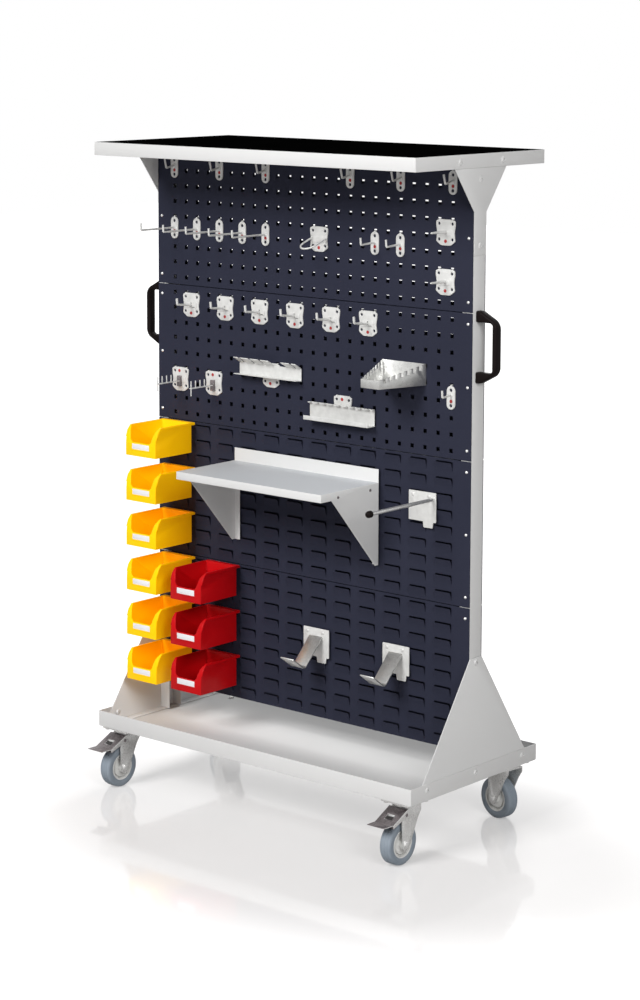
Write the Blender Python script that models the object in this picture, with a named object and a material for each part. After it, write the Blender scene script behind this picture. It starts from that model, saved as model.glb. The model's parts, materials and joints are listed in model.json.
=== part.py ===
"""Mobile tool panel trolley: a steel frame on castors with perforated and louvred panels on both sides.

The front faces -Y and +X is to the right. Heights are measured from the floor, depths from the middle
of the posts. All sizes are in metres.
"""
import math

import bmesh
import bpy
from mathutils import Matrix, Vector

# Clearances
GAP = 0.0003            # between pieces that touch
RUNNING = 0.0006        # between pieces that turn on each other

# Panels: the hole grid sets the size of the whole trolley
PITCH = 0.038           # hole grid, both ways
HOLE = 0.010            # side of a square hole
COLUMNS = 24
ROWS = 9
PANEL_W = 0.990
PANEL_SPACE = 0.002     # open seam between two panels
PANEL_T = 0.0015
PANEL_H = ROWS * PITCH - PANEL_SPACE
PANELS = 4              # two perforated ones above two louvred ones
LOUVRE_W = 0.048
LOUVRE_RISE = 0.018
LOUVRE_OUT = 0.006
LOUVRE_ROOT = 0.003     # height of the strip from which a louvre bends out

# Frame
SHEET = 0.002
POST_D = 0.0444
POST_FLANGE = 0.030
BASE_W = PANEL_W + 2 * (2 * GAP + 2 * SHEET)
BASE_D = 0.485
RIM_H = 0.040
TOP_RIM = 0.032
MAT_T = 0.004
PANEL_LIFT = 0.077      # lowest panel edge above the tray's underside
TOP_OVER = 0.021        # top of the rim above the highest panel edge

# Castors
WHEEL_R = 0.050
WHEEL_W = 0.032
CASTOR_H = 0.147
CASTOR_INSET_X = 0.0506 # swivel axes in from the tray's sides
CASTOR_INSET_Y = 0.0465
TRAIL = 0.028
FORK_W = 0.048
FORK_T = 0.0025
PLATE_T = 0.003
HEAD_T = 0.010
HEAD_R = 0.029
AXLE_R = 0.005
PIN_R = 0.0025
WHEEL_SIDES = 16
REAR_TURN = math.radians(-100)

# Handles
HANDLE_H = 0.167
HANDLE_OUT = 0.057
HANDLE_BAR = 0.0125
HANDLE_D = 0.022
HANDLE_FOOT = 0.026
HANDLE_DOWN = 0.420     # middle of the handle below the highest panel edge

# Bins
BIN_W = 0.102
BIN_L = 0.140
BIN_H = 0.075
BIN_FRONT = 0.034       # height of the front wall under the mouth
BIN_BEND = 0.018        # how far back the leaning front reaches at the rim
BIN_CHEEK = 0.016       # width of the front on each side of the mouth
BIN_WALL = 0.0022
BIN_RIM = 0.006         # height of the rim band
BIN_BACK = 0.011        # the rim reaches this far behind the back wall
BIN_RIM_OUT = 0.002
BIN_OVER = 0.0072       # rim above the louvre that carries the bin
BIN_STEP = 3            # louvre rows from one bin to the next
LIP_W = 0.040
LIP_T = 0.0016
LIP_DROP = 0.010

# Fixed levels that follow from the sizes above
TRAY_Z = CASTOR_H
FLOOR_Z = TRAY_Z + SHEET
PANEL_Z = TRAY_Z + PANEL_LIFT
PANEL_TOP = PANEL_Z + PANELS * ROWS * PITCH - PANEL_SPACE
TOP_Z = PANEL_TOP + TOP_OVER
UNDER_TOP = TOP_Z - MAT_T - SHEET
PANEL_BACK = POST_D / 2 + GAP
PANEL_FACE = PANEL_BACK + PANEL_T
LOUVRE_FACE = PANEL_FACE + LOUVRE_OUT
END_X = PANEL_W / 2
CASTOR_X = BASE_W / 2 - CASTOR_INSET_X
CASTOR_Y = BASE_D / 2 - CASTOR_INSET_Y
FLAP_TOP = (LOUVRE_RISE + LOUVRE_ROOT) / 2

for old in list(bpy.data.objects):
    bpy.data.objects.remove(old)

root = bpy.data.objects.new("trolley", None)
bpy.context.scene.collection.objects.link(root)


def finish(name, rgb, roughness, metallic=0.0):
    """A Principled material with a plain colour."""
    made = bpy.data.materials.new(name)
    made.use_nodes = True
    shader = made.node_tree.nodes["Principled BSDF"]
    shader.inputs["Base Color"].default_value = (*rgb, 1.0)
    shader.inputs["Roughness"].default_value = roughness
    shader.inputs["Metallic"].default_value = metallic
    return made


GREY = finish("light_grey_powder_coat", (0.74, 0.74, 0.73), 0.45)
ANTHRACITE = finish("anthracite_powder_coat", (0.038, 0.040, 0.062), 0.5)
RUBBER = finish("black_rubber", (0.012, 0.012, 0.012), 0.75)
ZINC = finish("zinc_plate", (0.72, 0.72, 0.70), 0.35, 0.9)
DARK_STEEL = finish("dark_plated_steel", (0.16, 0.145, 0.13), 0.4, 0.8)
PLASTIC = finish("black_plastic", (0.012, 0.008, 0.008), 0.4)
TYRE = finish("grey_rubber", (0.26, 0.31, 0.35), 0.7)
YELLOW = finish("yellow_plastic", (1.0, 0.62, 0.0), 0.35)
RED = finish("red_plastic", (0.66, 0.02, 0.018), 0.35)


# Tools for making solids

def prism(outline, axis, low, high):
    """An outline in the plane across the axis, drawn out along it from low to high."""
    spots = {"X": lambda u, v: (low, u, v), "Y": lambda u, v: (u, low, v), "Z": lambda u, v: (u, v, low)}
    step = {"X": Vector((1, 0, 0)), "Y": Vector((0, 1, 0)), "Z": Vector((0, 0, 1))}[axis]
    body = bmesh.new()
    face = body.faces.new([body.verts.new(spots[axis](u, v)) for u, v in outline])
    far = bmesh.ops.extrude_face_region(body, geom=[face], use_keep_orig=True)["geom"]
    moved = [item for item in far if isinstance(item, bmesh.types.BMVert)]
    bmesh.ops.translate(body, vec=step * (high - low), verts=moved)
    bmesh.ops.recalc_face_normals(body, faces=body.faces)
    return body


def block(x, y, z):
    """A box between two values on each axis."""
    return prism([(x[0], y[0]), (x[1], y[0]), (x[1], y[1]), (x[0], y[1])], "Z", *z)


def rod(path, radius, sides=6):
    """A round bar along a path of points, cut square at both ends."""
    points = [Vector(point) for point in path]
    body = bmesh.new()
    rings = []
    across = None
    for index, point in enumerate(points):
        before = (point - points[index - 1]).normalized() if index else Vector()
        after = (points[index + 1] - point).normalized() if index + 1 < len(points) else Vector()
        along = (before + after).normalized()
        if across is None:
            across = along.orthogonal()
        across = (across - along * across.dot(along)).normalized()
        up = along.cross(across)
        turns = [2 * math.pi * (side + 0.5) / sides for side in range(sides)]
        spokes = [math.cos(turn) * across + math.sin(turn) * up for turn in turns]
        rings.append([body.verts.new(point + radius * spoke) for spoke in spokes])
    for ring, nearby in zip(rings, rings[1:]):
        for side in range(sides):
            other = (side + 1) % sides
            body.faces.new((ring[side], ring[other], nearby[other], nearby[side]))
    body.faces.new(rings[0])
    body.faces.new(rings[-1])
    bmesh.ops.recalc_face_normals(body, faces=body.faces)
    return body


def turned(profile, sides):
    """A closed profile of (radius, x) points turned about the X axis, with a corner straight down."""
    body = bmesh.new()
    rings = []
    for side in range(sides):
        angle = 2 * math.pi * side / sides
        rings.append([body.verts.new((x, r * math.sin(angle), -r * math.cos(angle))) for r, x in profile])
    for side in range(sides):
        ring, nearby = rings[side], rings[(side + 1) % sides]
        for index in range(len(profile)):
            other = (index + 1) % len(profile)
            body.faces.new((ring[index], ring[other], nearby[other], nearby[index]))
    bmesh.ops.recalc_face_normals(body, faces=body.faces)
    return body


def lofted(rings):
    """Rings of equal length joined one to the next, with a face on the first and the last."""
    body = bmesh.new()
    made = [[body.verts.new(point) for point in ring] for ring in rings]
    count = len(rings[0])
    for ring, nearby in zip(made, made[1:]):
        for index in range(count):
            other = (index + 1) % count
            body.faces.new((ring[index], ring[other], nearby[other], nearby[index]))
    body.faces.new(made[0])
    body.faces.new(made[-1])
    bmesh.ops.recalc_face_normals(body, faces=body.faces)
    return body


def combined(base, tools, operation):
    """The base solid joined with, or cut by, each of the tool solids."""
    for tool in tools:
        pair = []
        for solid in (base, tool):
            mesh = bpy.data.meshes.new("solid")
            solid.to_mesh(mesh)
            solid.free()
            pair.append(bpy.data.objects.new("solid", mesh))
            bpy.context.scene.collection.objects.link(pair[-1])
        step = pair[0].modifiers.new("step", "BOOLEAN")
        step.operation = operation
        step.object = pair[1]
        base = bmesh.new()
        base.from_object(pair[0], bpy.context.evaluated_depsgraph_get())
        for spent in pair:
            bpy.data.objects.remove(spent)
    bmesh.ops.remove_doubles(base, verts=base.verts, dist=1e-6)
    return base


def joined(base, *tools):
    return combined(base, tools, "UNION")


def cut(base, *tools):
    return combined(base, tools, "DIFFERENCE")


def piece(name, body, material, at=(0, 0, 0), parent=root):
    """A named object made from a solid, which is used up."""
    mesh = bpy.data.meshes.new(name)
    body.to_mesh(mesh)
    body.free()
    mesh.materials.append(material)
    return placed(name, mesh, at, parent)


def placed(name, mesh, at, parent=root):
    """A named object that shows a mesh, which other objects may share."""
    made = bpy.data.objects.new(name, mesh)
    made.location = at
    made.parent = parent
    bpy.context.scene.collection.objects.link(made)
    return made


def column_x(column):
    """Middle of a column of the hole grid, counted from the left."""
    return (column - (COLUMNS - 1) / 2) * PITCH


def row_z(row):
    """Middle of a row of the hole grid, counted down from the top through all the panels."""
    return PANEL_TOP - PANEL_H / 2 + ((ROWS - 1) / 2 - row) * PITCH


# Base tray: a folded pan, with a plate and a round swivel head under it for each castor

tray = block((-BASE_W / 2, BASE_W / 2), (-BASE_D / 2, BASE_D / 2), (TRAY_Z, TRAY_Z + RIM_H))
inner_x, inner_y = BASE_W / 2 - SHEET, BASE_D / 2 - SHEET
tray = cut(tray, block((-inner_x, inner_x), (-inner_y, inner_y), (FLOOR_Z, TRAY_Z + RIM_H + SHEET)))
for side in (-1, 1):
    for end in (-1, 1):
        x, y = side * CASTOR_X, end * CASTOR_Y
        plate = block((x - 0.042, x + 0.042), (y - 0.044, y + 0.044), (TRAY_Z - PLATE_T, TRAY_Z + SHEET / 2))
        turns = [step * math.pi / 6 for step in range(12)]
        ring = [(x + HEAD_R * math.cos(turn), y + HEAD_R * math.sin(turn)) for turn in turns]
        tray = joined(tray, plate, prism(ring, "Z", TRAY_Z - PLATE_T - HEAD_T, TRAY_Z - PLATE_T / 2))
piece("base_tray", tray, GREY)


# Table top: a pan with its rim down and a bed on top, and the mat that lies in the bed

top = block((-BASE_W / 2, BASE_W / 2), (-BASE_D / 2, BASE_D / 2), (TOP_Z - TOP_RIM, TOP_Z))
bed = block((-inner_x, inner_x), (-inner_y, inner_y), (TOP_Z - MAT_T, TOP_Z + SHEET))
hollow = block((-inner_x, inner_x), (-inner_y, inner_y), (TOP_Z - TOP_RIM - SHEET, UNDER_TOP))
piece("table_top", cut(top, bed, hollow), GREY)
mat_x, mat_y = inner_x - GAP, inner_y - GAP
piece("top_mat", block((-mat_x, mat_x), (-mat_y, mat_y), (TOP_Z - MAT_T + GAP, TOP_Z + GAP)), RUBBER)


# Posts, and the plates at their heads and feet

def spread(*half_widths_and_heights):
    """An outline that is the same on both sides of the post, from half widths at rising heights."""
    right = list(half_widths_and_heights)
    return right + [(-width, height) for width, height in reversed(right)]


plate_x = (END_X + GAP, END_X + GAP + SHEET)
STEM = POST_D / 2
HEAD_SPREAD, FOOT_SPREAD = 0.097, 0.196
HEAD_LOW, HEAD_WAIST, FOOT_TOP = TOP_Z - 0.231, TOP_Z - 0.133, TRAY_Z + 0.298
FOOT_FLANGE = 0.022
flange_z = (FLOOR_Z + GAP, FLOOR_Z + GAP + SHEET)
for side, word in ((-1, "left"), (1, "right")):
    outer, inner, lip = side * END_X, side * (END_X - SHEET), side * (END_X - POST_FLANGE)
    half, fold = POST_D / 2, POST_D / 2 - SHEET
    channel = [(outer, -half), (lip, -half), (lip, -fold), (inner, -fold),
               (inner, fold), (lip, fold), (lip, half), (outer, half)]
    piece("post_" + word, prism(channel, "Z", flange_z[1] + GAP, UNDER_TOP - GAP), GREY)
    near, far = sorted(side * x for x in plate_x)
    head = spread((STEM, HEAD_LOW), (STEM, HEAD_WAIST), (HEAD_SPREAD, TOP_Z - TOP_RIM),
                  (HEAD_SPREAD, UNDER_TOP - GAP))
    piece("head_plate_" + word, prism(head, "X", near, far), GREY)
    rim_z = TRAY_Z + RIM_H
    slope = (FOOT_SPREAD - STEM) / (FOOT_TOP - rim_z)
    foot_low = FOOT_SPREAD + slope * (rim_z - flange_z[0])
    foot = prism(spread((foot_low, flange_z[0]), (STEM, FOOT_TOP)), "X", near, far)
    inward = sorted((side * (END_X - FOOT_FLANGE), side * plate_x[1]))
    foot = joined(foot, block(inward, (-foot_low, foot_low), flange_z))
    piece("foot_plate_" + word, foot, GREY)


# Perforated panels

def edges(middles, size):
    """Both edges of each opening along one axis."""
    return [middle + half for middle in middles for half in (-size / 2, size / 2)]


def gridded(xs, zs, y):
    """A flat face of the sheet's size, divided along the lines, with the odd cells listed by themselves."""
    sheet = bmesh.new()
    knots = [[sheet.verts.new((x, y, z)) for z in zs] for x in xs]
    signs = ((-1, -1), (1, -1), (1, 1), (-1, 1))
    corner = [sheet.verts.new((x * PANEL_W / 2, y, z * PANEL_H / 2)) for x, z in signs]
    sheet.faces.new([corner[0], corner[1]] + [column[0] for column in reversed(knots)])
    sheet.faces.new([corner[1], corner[2]] + list(reversed(knots[-1])))
    sheet.faces.new([corner[2], corner[3]] + [column[-1] for column in knots])
    sheet.faces.new([corner[3], corner[0]] + knots[0])
    cells = []
    for i in range(len(xs) - 1):
        for j in range(len(zs) - 1):
            face = sheet.faces.new((knots[i][j], knots[i + 1][j], knots[i + 1][j + 1], knots[i][j + 1]))
            if i % 2 == 0 and j % 2 == 0:
                cells.append(face)
    return sheet, cells, corner


def perforated_sheet():
    """A sheet with a square hole at each point of the grid, its back at y = 0 and its front at -y."""
    xs = edges([column_x(column) for column in range(COLUMNS)], HOLE)
    zs = edges([(row - (ROWS - 1) / 2) * PITCH for row in range(ROWS)], HOLE)
    sheet, holes, _ = gridded(xs, zs, 0)
    bmesh.ops.delete(sheet, geom=holes, context="FACES")
    front = bmesh.ops.extrude_face_region(sheet, geom=list(sheet.faces), use_keep_orig=True)["geom"]
    moved = [item for item in front if isinstance(item, bmesh.types.BMVert)]
    bmesh.ops.translate(sheet, vec=(0, -PANEL_T, 0), verts=moved)
    bmesh.ops.recalc_face_normals(sheet, faces=sheet.faces)
    return sheet


def louvred_sheet():
    """A sheet whose front carries rows of louvres, each bent out upwards from a strip of the sheet."""
    xs = edges([column_x(column + 0.5) for column in range(0, COLUMNS, 2)], LOUVRE_W)
    zs = edges([(row - (ROWS - 1) / 2) * PITCH - LOUVRE_RISE / 2 for row in range(ROWS)], LOUVRE_ROOT)
    sheet, strips, corner = gridded(xs, zs, -PANEL_T)
    back = [sheet.verts.new((vert.co.x, 0, vert.co.z)) for vert in corner]
    sheet.faces.new(back)
    for index in range(4):
        other = (index + 1) % 4
        sheet.faces.new((corner[index], corner[other], back[other], back[index]))
    for flap in bmesh.ops.extrude_discrete_faces(sheet, faces=strips)["faces"]:
        bmesh.ops.translate(sheet, vec=(0, -LOUVRE_OUT, LOUVRE_RISE), verts=flap.verts)
    bmesh.ops.recalc_face_normals(sheet, faces=sheet.faces)
    return sheet


perforated = louvred = None
for level in range(PANELS):
    middle = PANEL_TOP - PANEL_H / 2 - level * ROWS * PITCH
    at = (0, -PANEL_BACK, middle)
    name = f"panel_front_{level + 1}"
    if level == 0:
        perforated = piece(name, perforated_sheet(), ANTHRACITE, at).data
    elif level == 2:
        louvred = piece(name, louvred_sheet(), ANTHRACITE, at).data
    else:
        placed(name, perforated if level == 1 else louvred, at)
    plain = block((-PANEL_W / 2, PANEL_W / 2), (0, PANEL_T), (-PANEL_H / 2, PANEL_H / 2))
    piece(f"panel_rear_{level + 1}", plain, ANTHRACITE, (0, PANEL_BACK, middle))


# Handles: plastic bows on the posts' outer faces

top_z, foot_z, bar_x = HANDLE_H / 2, HANDLE_H / 2 - HANDLE_FOOT, HANDLE_OUT - HANDLE_BAR
upper = [(0, foot_z), (bar_x - 0.005, foot_z), (bar_x, foot_z - 0.005), (HANDLE_OUT, top_z - 0.025),
         (0.012, top_z - 0.001), (0, top_z)]
bow = [upper[0], upper[5], upper[4], upper[3]]
bow += [(x, -z) for x, z in (upper[3], upper[4], upper[5], upper[0], upper[1], upper[2])]
bow += [upper[2], upper[1]]
for side, word in ((-1, "left"), (1, "right")):
    outline = [(side * x, z) for x, z in bow]
    handle = prism(outline, "Y", -HANDLE_D / 2, HANDLE_D / 2)
    grip = [edge for edge in handle.edges if all(abs(vert.co.x) > 0.001 for vert in edge.verts)
            and abs(edge.verts[0].co.y - edge.verts[1].co.y) < 1e-6]
    bmesh.ops.bevel(handle, geom=grip, offset=0.003, segments=1, affect="EDGES")
    piece("handle_" + word, handle, PLASTIC, (side * (END_X + GAP), 0, PANEL_TOP - HANDLE_DOWN))


# Castors: fork with its axle, wheel, and on the front pair a brake pedal

crown_z = -PLATE_T - HEAD_T - GAP
axle_z = WHEEL_R - CASTOR_H
inside = FORK_W / 2 - FORK_T
PEDAL_Y, PEDAL_Z = -0.030, crown_z - 0.0137
PEDAL_SIDES = 6


def fork_body():
    """Two cheeks under a crown, cut from one side view, with the axle and the pedal's pin through them."""
    side_view = [(0.026, crown_z), (-0.018, crown_z), (-0.024, crown_z - 0.006), (-0.040, crown_z - 0.0135),
                 (-0.043, crown_z - 0.020), (-TRAIL - 0.014, axle_z + 0.010), (-TRAIL - 0.012, axle_z - 0.008),
                 (-TRAIL - 0.004, axle_z - 0.014), (-TRAIL + 0.006, axle_z - 0.013), (-TRAIL + 0.016, axle_z),
                 (0.014, crown_z - 0.030), (0.026, crown_z - 0.013)]
    fork = prism(side_view, "X", -FORK_W / 2, FORK_W / 2)
    fork = cut(fork, block((-inside, inside), (-0.1, 0.1), (axle_z - 0.05, crown_z - 0.004)))
    reach = FORK_W / 2 + 0.004
    axle = rod([(-reach, -TRAIL, axle_z), (reach, -TRAIL, axle_z)], AXLE_R, 8)
    pin = rod([(-reach, PEDAL_Y, PEDAL_Z), (reach, PEDAL_Y, PEDAL_Z)], PIN_R, PEDAL_SIDES)
    return joined(fork, axle, pin)


def wheel_body():
    """A tyre on a dished hub, with a bore that runs on the axle."""
    half, hub = WHEEL_W / 2, inside - RUNNING
    bore = (AXLE_R + GAP) / math.cos(math.pi / WHEEL_SIDES)
    right = [(bore, hub), (0.011, hub), (0.013, half - 0.006), (0.034, half - 0.006),
             (0.036, half), (WHEEL_R, half - 0.005)]
    return turned(right + [(r, -x) for r, x in reversed(right)], WHEEL_SIDES)


def pedal_body():
    """A folded pedal over the wheel, with a window, a tongue in front and a cheek outside each fork cheek."""
    near = FORK_W / 2 + RUNNING
    far = near + SHEET
    side_view = [(0.010, -0.006), (0.012, 0.003), (0.0027, 0.0124),
                 (-0.050, -0.0136), (-0.048, -0.0216), (-0.012, -0.009)]
    under = [(0.1, 0.0104), (0.0027, 0.0104), (-0.050, -0.0156), (-0.1, -0.0403), (-0.1, -0.1), (0.1, -0.1)]
    pedal = prism(side_view, "X", -far, far)
    bore = (PIN_R + GAP) / math.cos(math.pi / PEDAL_SIDES)
    hole = rod([(-0.1, 0, 0), (0.1, 0, 0)], bore, PEDAL_SIDES)
    window = block((-0.011, 0.011), (-0.036, -0.020), (-0.02, 0.03))
    pedal = cut(pedal, prism(under, "X", -near, near), window, hole)
    tongue = [(-0.047, -0.0125), (-0.049, -0.0150), (-0.079, -0.0140), (-0.079, -0.0122)]
    return joined(pedal, prism(tongue, "X", -0.025, 0.025))


fork_mesh = wheel_mesh = pedal_mesh = None
corners = (("fl", -1, -1, 0.0), ("fr", 1, -1, 0.0), ("rl", -1, 1, REAR_TURN), ("rr", 1, 1, REAR_TURN))
for word, side, end, turn in corners:
    swivel = bpy.data.objects.new("swivel_" + word, None)
    swivel.parent = root
    swivel.location = (side * CASTOR_X, end * CASTOR_Y, CASTOR_H)
    swivel.rotation_euler = (0, 0, turn)
    bpy.context.scene.collection.objects.link(swivel)
    if fork_mesh is None:
        fork_mesh = piece("fork_" + word, fork_body(), ZINC, parent=swivel).data
        wheel_mesh = piece("wheel_" + word, wheel_body(), TYRE, (0, -TRAIL, axle_z), swivel).data
        pedal_mesh = piece("pedal_" + word, pedal_body(), DARK_STEEL, (0, PEDAL_Y, PEDAL_Z), swivel).data
        continue
    placed("fork_" + word, fork_mesh, (0, 0, 0), swivel)
    placed("wheel_" + word, wheel_mesh, (0, -TRAIL, axle_z), swivel)
    if end < 0:
        placed("pedal_" + word, pedal_mesh, (0, PEDAL_Y, PEDAL_Z), swivel)


# Bins: tapered boxes with a scooped front, a rim, and a lip behind that drops into a row of louvres

def bin_body():
    """A bin with the back of its rim at y = 0 and its top at z = 0, whose front leans back round the mouth."""
    half, floor, wall, bend = BIN_W / 2, -BIN_H, BIN_WALL, BIN_BEND - BIN_L
    lean = [(-BIN_L, 0.4 * BIN_H + floor), (0.08 * BIN_BEND - BIN_L, 0.62 * BIN_H + floor),
            (0.4 * BIN_BEND - BIN_L, -0.16 * BIN_H), (bend, 0)]
    inner = [(wall - BIN_L, lean[0][1]), (lean[1][0] + wall, lean[1][1]),
             (lean[2][0] + 0.7 * wall, lean[2][1] - 0.7 * wall)]
    band = [(lean[1][0] + BIN_RIM, lean[1][1]), (lean[2][0] + 0.7 * BIN_RIM, lean[2][1] - 0.7 * BIN_RIM),
            (bend, -BIN_RIM)]
    shell = prism([(-BIN_BACK, 0), (-BIN_BACK, floor), (-BIN_L, floor)] + lean, "X", -half, half)
    rim_x = half + BIN_RIM_OUT
    rim = prism([(0, 0), lean[3], lean[2], lean[1]] + band + [(0, -BIN_RIM)], "X", -rim_x, rim_x)
    rear = -BIN_BACK - wall
    hollow = [(rear, floor + wall), (rear, wall), (bend + wall, wall), (bend + wall, -wall)]
    hollow += list(reversed(inner)) + [(wall - BIN_L, floor + wall)]
    side = [(half - BIN_CHEEK - 0.006, floor + BIN_FRONT), (half - BIN_CHEEK, floor + BIN_FRONT + 0.006),
            (half - 0.6 * BIN_CHEEK, -0.16 * BIN_H), (half - wall, 0), (half - wall, wall)]
    mouth = prism(side + [(-x, z) for x, z in reversed(side)], "Y", -2 * BIN_L, bend + 2 * wall)
    shell = cut(joined(shell, rim), prism(hollow, "X", wall - half, half - wall), mouth)
    back, low = LOUVRE_FACE - PANEL_FACE + GAP, -BIN_OVER - LIP_DROP
    lip = back - 0.0005
    hanger = [(rear + wall / 2, -BIN_OVER), (rear + wall / 2, LIP_T - BIN_OVER), (lip, LIP_T - BIN_OVER), (lip, low),
              (lip - LIP_T, low), (lip - LIP_T, -BIN_OVER)]
    return joined(shell, prism(hanger, "X", -LIP_W / 2, LIP_W / 2))


def bin_at(column, row):
    """Place of a bin that hangs on one louvre."""
    return (column_x(column), -LOUVRE_FACE - GAP, row_z(row) + FLAP_TOP + GAP + BIN_OVER)


FIRST_ROW = 2 * ROWS
yellow = piece("bin_yellow_1", bin_body(), YELLOW, bin_at(0.5, FIRST_ROW)).data
red = yellow.copy()
red.materials[0] = RED
for place in range(1, 6):
    placed(f"bin_yellow_{place + 1}", yellow, bin_at(0.5, FIRST_ROW + BIN_STEP * place))
for place in range(3, 6):
    placed(f"bin_red_{place - 2}", red, bin_at(4.5, FIRST_ROW + BIN_STEP * place))


# Shelf on two triangular brackets

SHELF_W, SHELF_D, SHELF_Z = 0.458, 0.210, row_z(20) + 0.015
SHELF_T = 0.0016
BACK_LIP, FRONT_LIP, BRACKET_H, BRACKET_D, BRACKET_FLANGE = 0.032, 0.019, 0.198, 0.172, 0.017
shelf_y = -LOUVRE_FACE - GAP
front_y = shelf_y - SHELF_D
fold = [(shelf_y, SHELF_Z + BACK_LIP), (shelf_y - SHELF_T, SHELF_Z + BACK_LIP), (shelf_y - SHELF_T, SHELF_Z),
        (front_y, SHELF_Z), (front_y, SHELF_Z - FRONT_LIP), (front_y + SHELF_T, SHELF_Z - FRONT_LIP),
        (front_y + SHELF_T, SHELF_Z - SHELF_T), (shelf_y, SHELF_Z - SHELF_T)]
shelf = prism(fold, "X", -SHELF_W / 2, SHELF_W / 2)
for side in (-1, 1):
    triangle = [(shelf_y, SHELF_Z - SHELF_T / 2), (front_y + SHELF_T / 2, SHELF_Z - SHELF_T / 2),
                (front_y + SHELF_T / 2, SHELF_Z - FRONT_LIP), (shelf_y - BRACKET_D, SHELF_Z - FRONT_LIP),
                (shelf_y - 0.012, SHELF_Z - BRACKET_H), (shelf_y, SHELF_Z - BRACKET_H)]
    across = sorted((side * SHELF_W / 2, side * (SHELF_W / 2 - SHELF_T)))
    inward = sorted((side * SHELF_W / 2, side * (SHELF_W / 2 - BRACKET_FLANGE)))
    flange = block(inward, (shelf_y - SHELF_T, shelf_y), (SHELF_Z - BRACKET_H, SHELF_Z - SHELF_T / 2))
    shelf = joined(shelf, prism(triangle, "X", *across), flange)
piece("shelf", shelf, GREY)


# Holders on the louvres: a long rod with an end cap, and two angled arms

PLATE_W, PLATE_H, TAB_W, TAB_H = 0.080, 0.070, 0.026, 0.014
HOLDER_T = 0.002
plate_x, plate_z, tab_z = PLATE_W / 2, PLATE_H / 2, PLATE_H / 2 + TAB_H
tabbed = [(-plate_x, plate_z), (-plate_x, -plate_z), (0.002, -plate_z), (0.004, -tab_z),
          (0.004 + TAB_W, -tab_z), (0.006 + TAB_W, -plate_z), (plate_x, -plate_z), (plate_x, plate_z)]
ROD_R, ROD_L, CAP_R, CAP_L = 0.0045, 0.232, 0.007, 0.012
rod_holder = joined(prism(tabbed, "Y", -HOLDER_T, 0),
                    rod([(0.032, -HOLDER_T / 2, 0.020), (0.032, -ROD_L, 0.020)], ROD_R, 8),
                    rod([(0.032, -ROD_L + 0.002, 0.020), (0.032, -ROD_L - CAP_L, 0.020)], CAP_R, 10))
piece("rod_holder", rod_holder, ZINC, (column_x(21), -LOUVRE_FACE - GAP, row_z(20.5) - 0.005))
ARM_W = 0.040
arm = [(-HOLDER_T / 2, 0.012), (-0.066, -0.055), (-0.111, -0.022), (-0.1095, -0.0195),
       (-0.0656, -0.0514), (-HOLDER_T / 2, 0.0162)]
web = [(-HOLDER_T / 2, 0.014), (-0.040, -0.027), (-0.020, -0.024), (-HOLDER_T / 2, -0.016)]
angled = None
for number, column in ((1, 12.5), (2, 19)):
    at = (column_x(column), -LOUVRE_FACE - GAP, row_z(30.5) - 0.002)
    if angled is None:
        solid = joined(prism(tabbed, "Y", -HOLDER_T, 0), prism(arm, "X", -ARM_W / 2, ARM_W / 2),
                       prism(web, "X", -0.001, 0.001))
        angled = piece(f"v_holder_{number}", solid, ZINC, at).data
        continue
    placed(f"v_holder_{number}", angled, at)


# Hooks and racks on the perforated panels

HOOK_T = 0.0025
NARROW_W, NARROW_H = 0.024, 0.055
WIDE_W, WIDE_H = 0.055, 0.061
HOOK_SAG = 0.0095       # a hook's plate hangs this far below the middle of its holes


def hook_at(column, row):
    """Place of a hook plate on the panel, between two rows of holes."""
    return (column_x(column), -PANEL_FACE - GAP, row_z(row + 0.5) - HOOK_SAG)


def narrow_plate():
    """A strip with round ends."""
    reach, radius = (NARROW_H - NARROW_W) / 2, NARROW_W / 2
    turns = [math.pi * step / 4 for step in range(5)]
    upper = [(radius * math.cos(a), reach + radius * math.sin(a)) for a in turns]
    lower = [(-x, -z) for x, z in upper]
    return prism(upper + lower, "Y", -HOOK_T, 0)


def wide_plate():
    """A plate with a bowed top and bottom and a slight waist."""
    half_w, half_h = WIDE_W / 2, WIDE_H / 2
    upper = [(half_w - 0.003, 0), (half_w, 0.5 * half_h), (half_w, half_h - 0.004),
             (0.5 * half_w, half_h - 0.001)]
    upper += [(-x, z) for x, z in reversed(upper)]
    lower = [(-0.96 * half_w, -0.5 * half_h), (-half_w, 0.010 - half_h), (-0.5 * half_w, -half_h),
             (0.5 * half_w, -half_h), (half_w, 0.010 - half_h), (0.96 * half_w, -0.5 * half_h)]
    return prism(upper + lower, "Y", -HOOK_T, 0)


LONG_HOOK, LONG_TIP = 0.120, 0.018
path = [(0, -HOOK_T / 2, 0), (0, 0.006 - LONG_HOOK, 0.001), (0, -LONG_HOOK, 0.004),
        (0, -LONG_HOOK - 0.001, LONG_TIP)]
long_hook = joined(narrow_plate(), rod(path, 0.0025))
mesh = piece("long_hook_1", long_hook, ZINC, hook_at(0, 4)).data
for number in range(1, 5):
    placed(f"long_hook_{number + 1}", mesh, hook_at(2 * number, 4))
SHORT_HOOK, SHORT_TIP = 0.053, 0.020
path = [(0, -HOOK_T / 2, -0.001), (0, 0.006 - SHORT_HOOK, 0.004), (0, -SHORT_HOOK, 0.008),
        (0, -SHORT_HOOK - 0.001, SHORT_TIP)]
wide_hook = joined(wide_plate(), rod(path, 0.0035))
mesh = piece("wide_hook_1", wide_hook, ZINC, hook_at(1.5, ROWS)).data
for number in range(1, 6):
    placed(f"wide_hook_{number + 1}", mesh, hook_at(1.5 + 3 * number, ROWS))
LOOP_R = 0.022
loop = [(-LOOP_R, -HOOK_T / 2, 0.002)]
for turn in [step * math.pi / 8 for step in range(9)]:
    loop.append((-LOOP_R * math.cos(turn), -0.035 - LOOP_R * math.sin(turn), -0.010 - 0.010 * math.sin(turn)))
loop += [(LOOP_R, -HOOK_T / 2, 0.002)]
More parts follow.
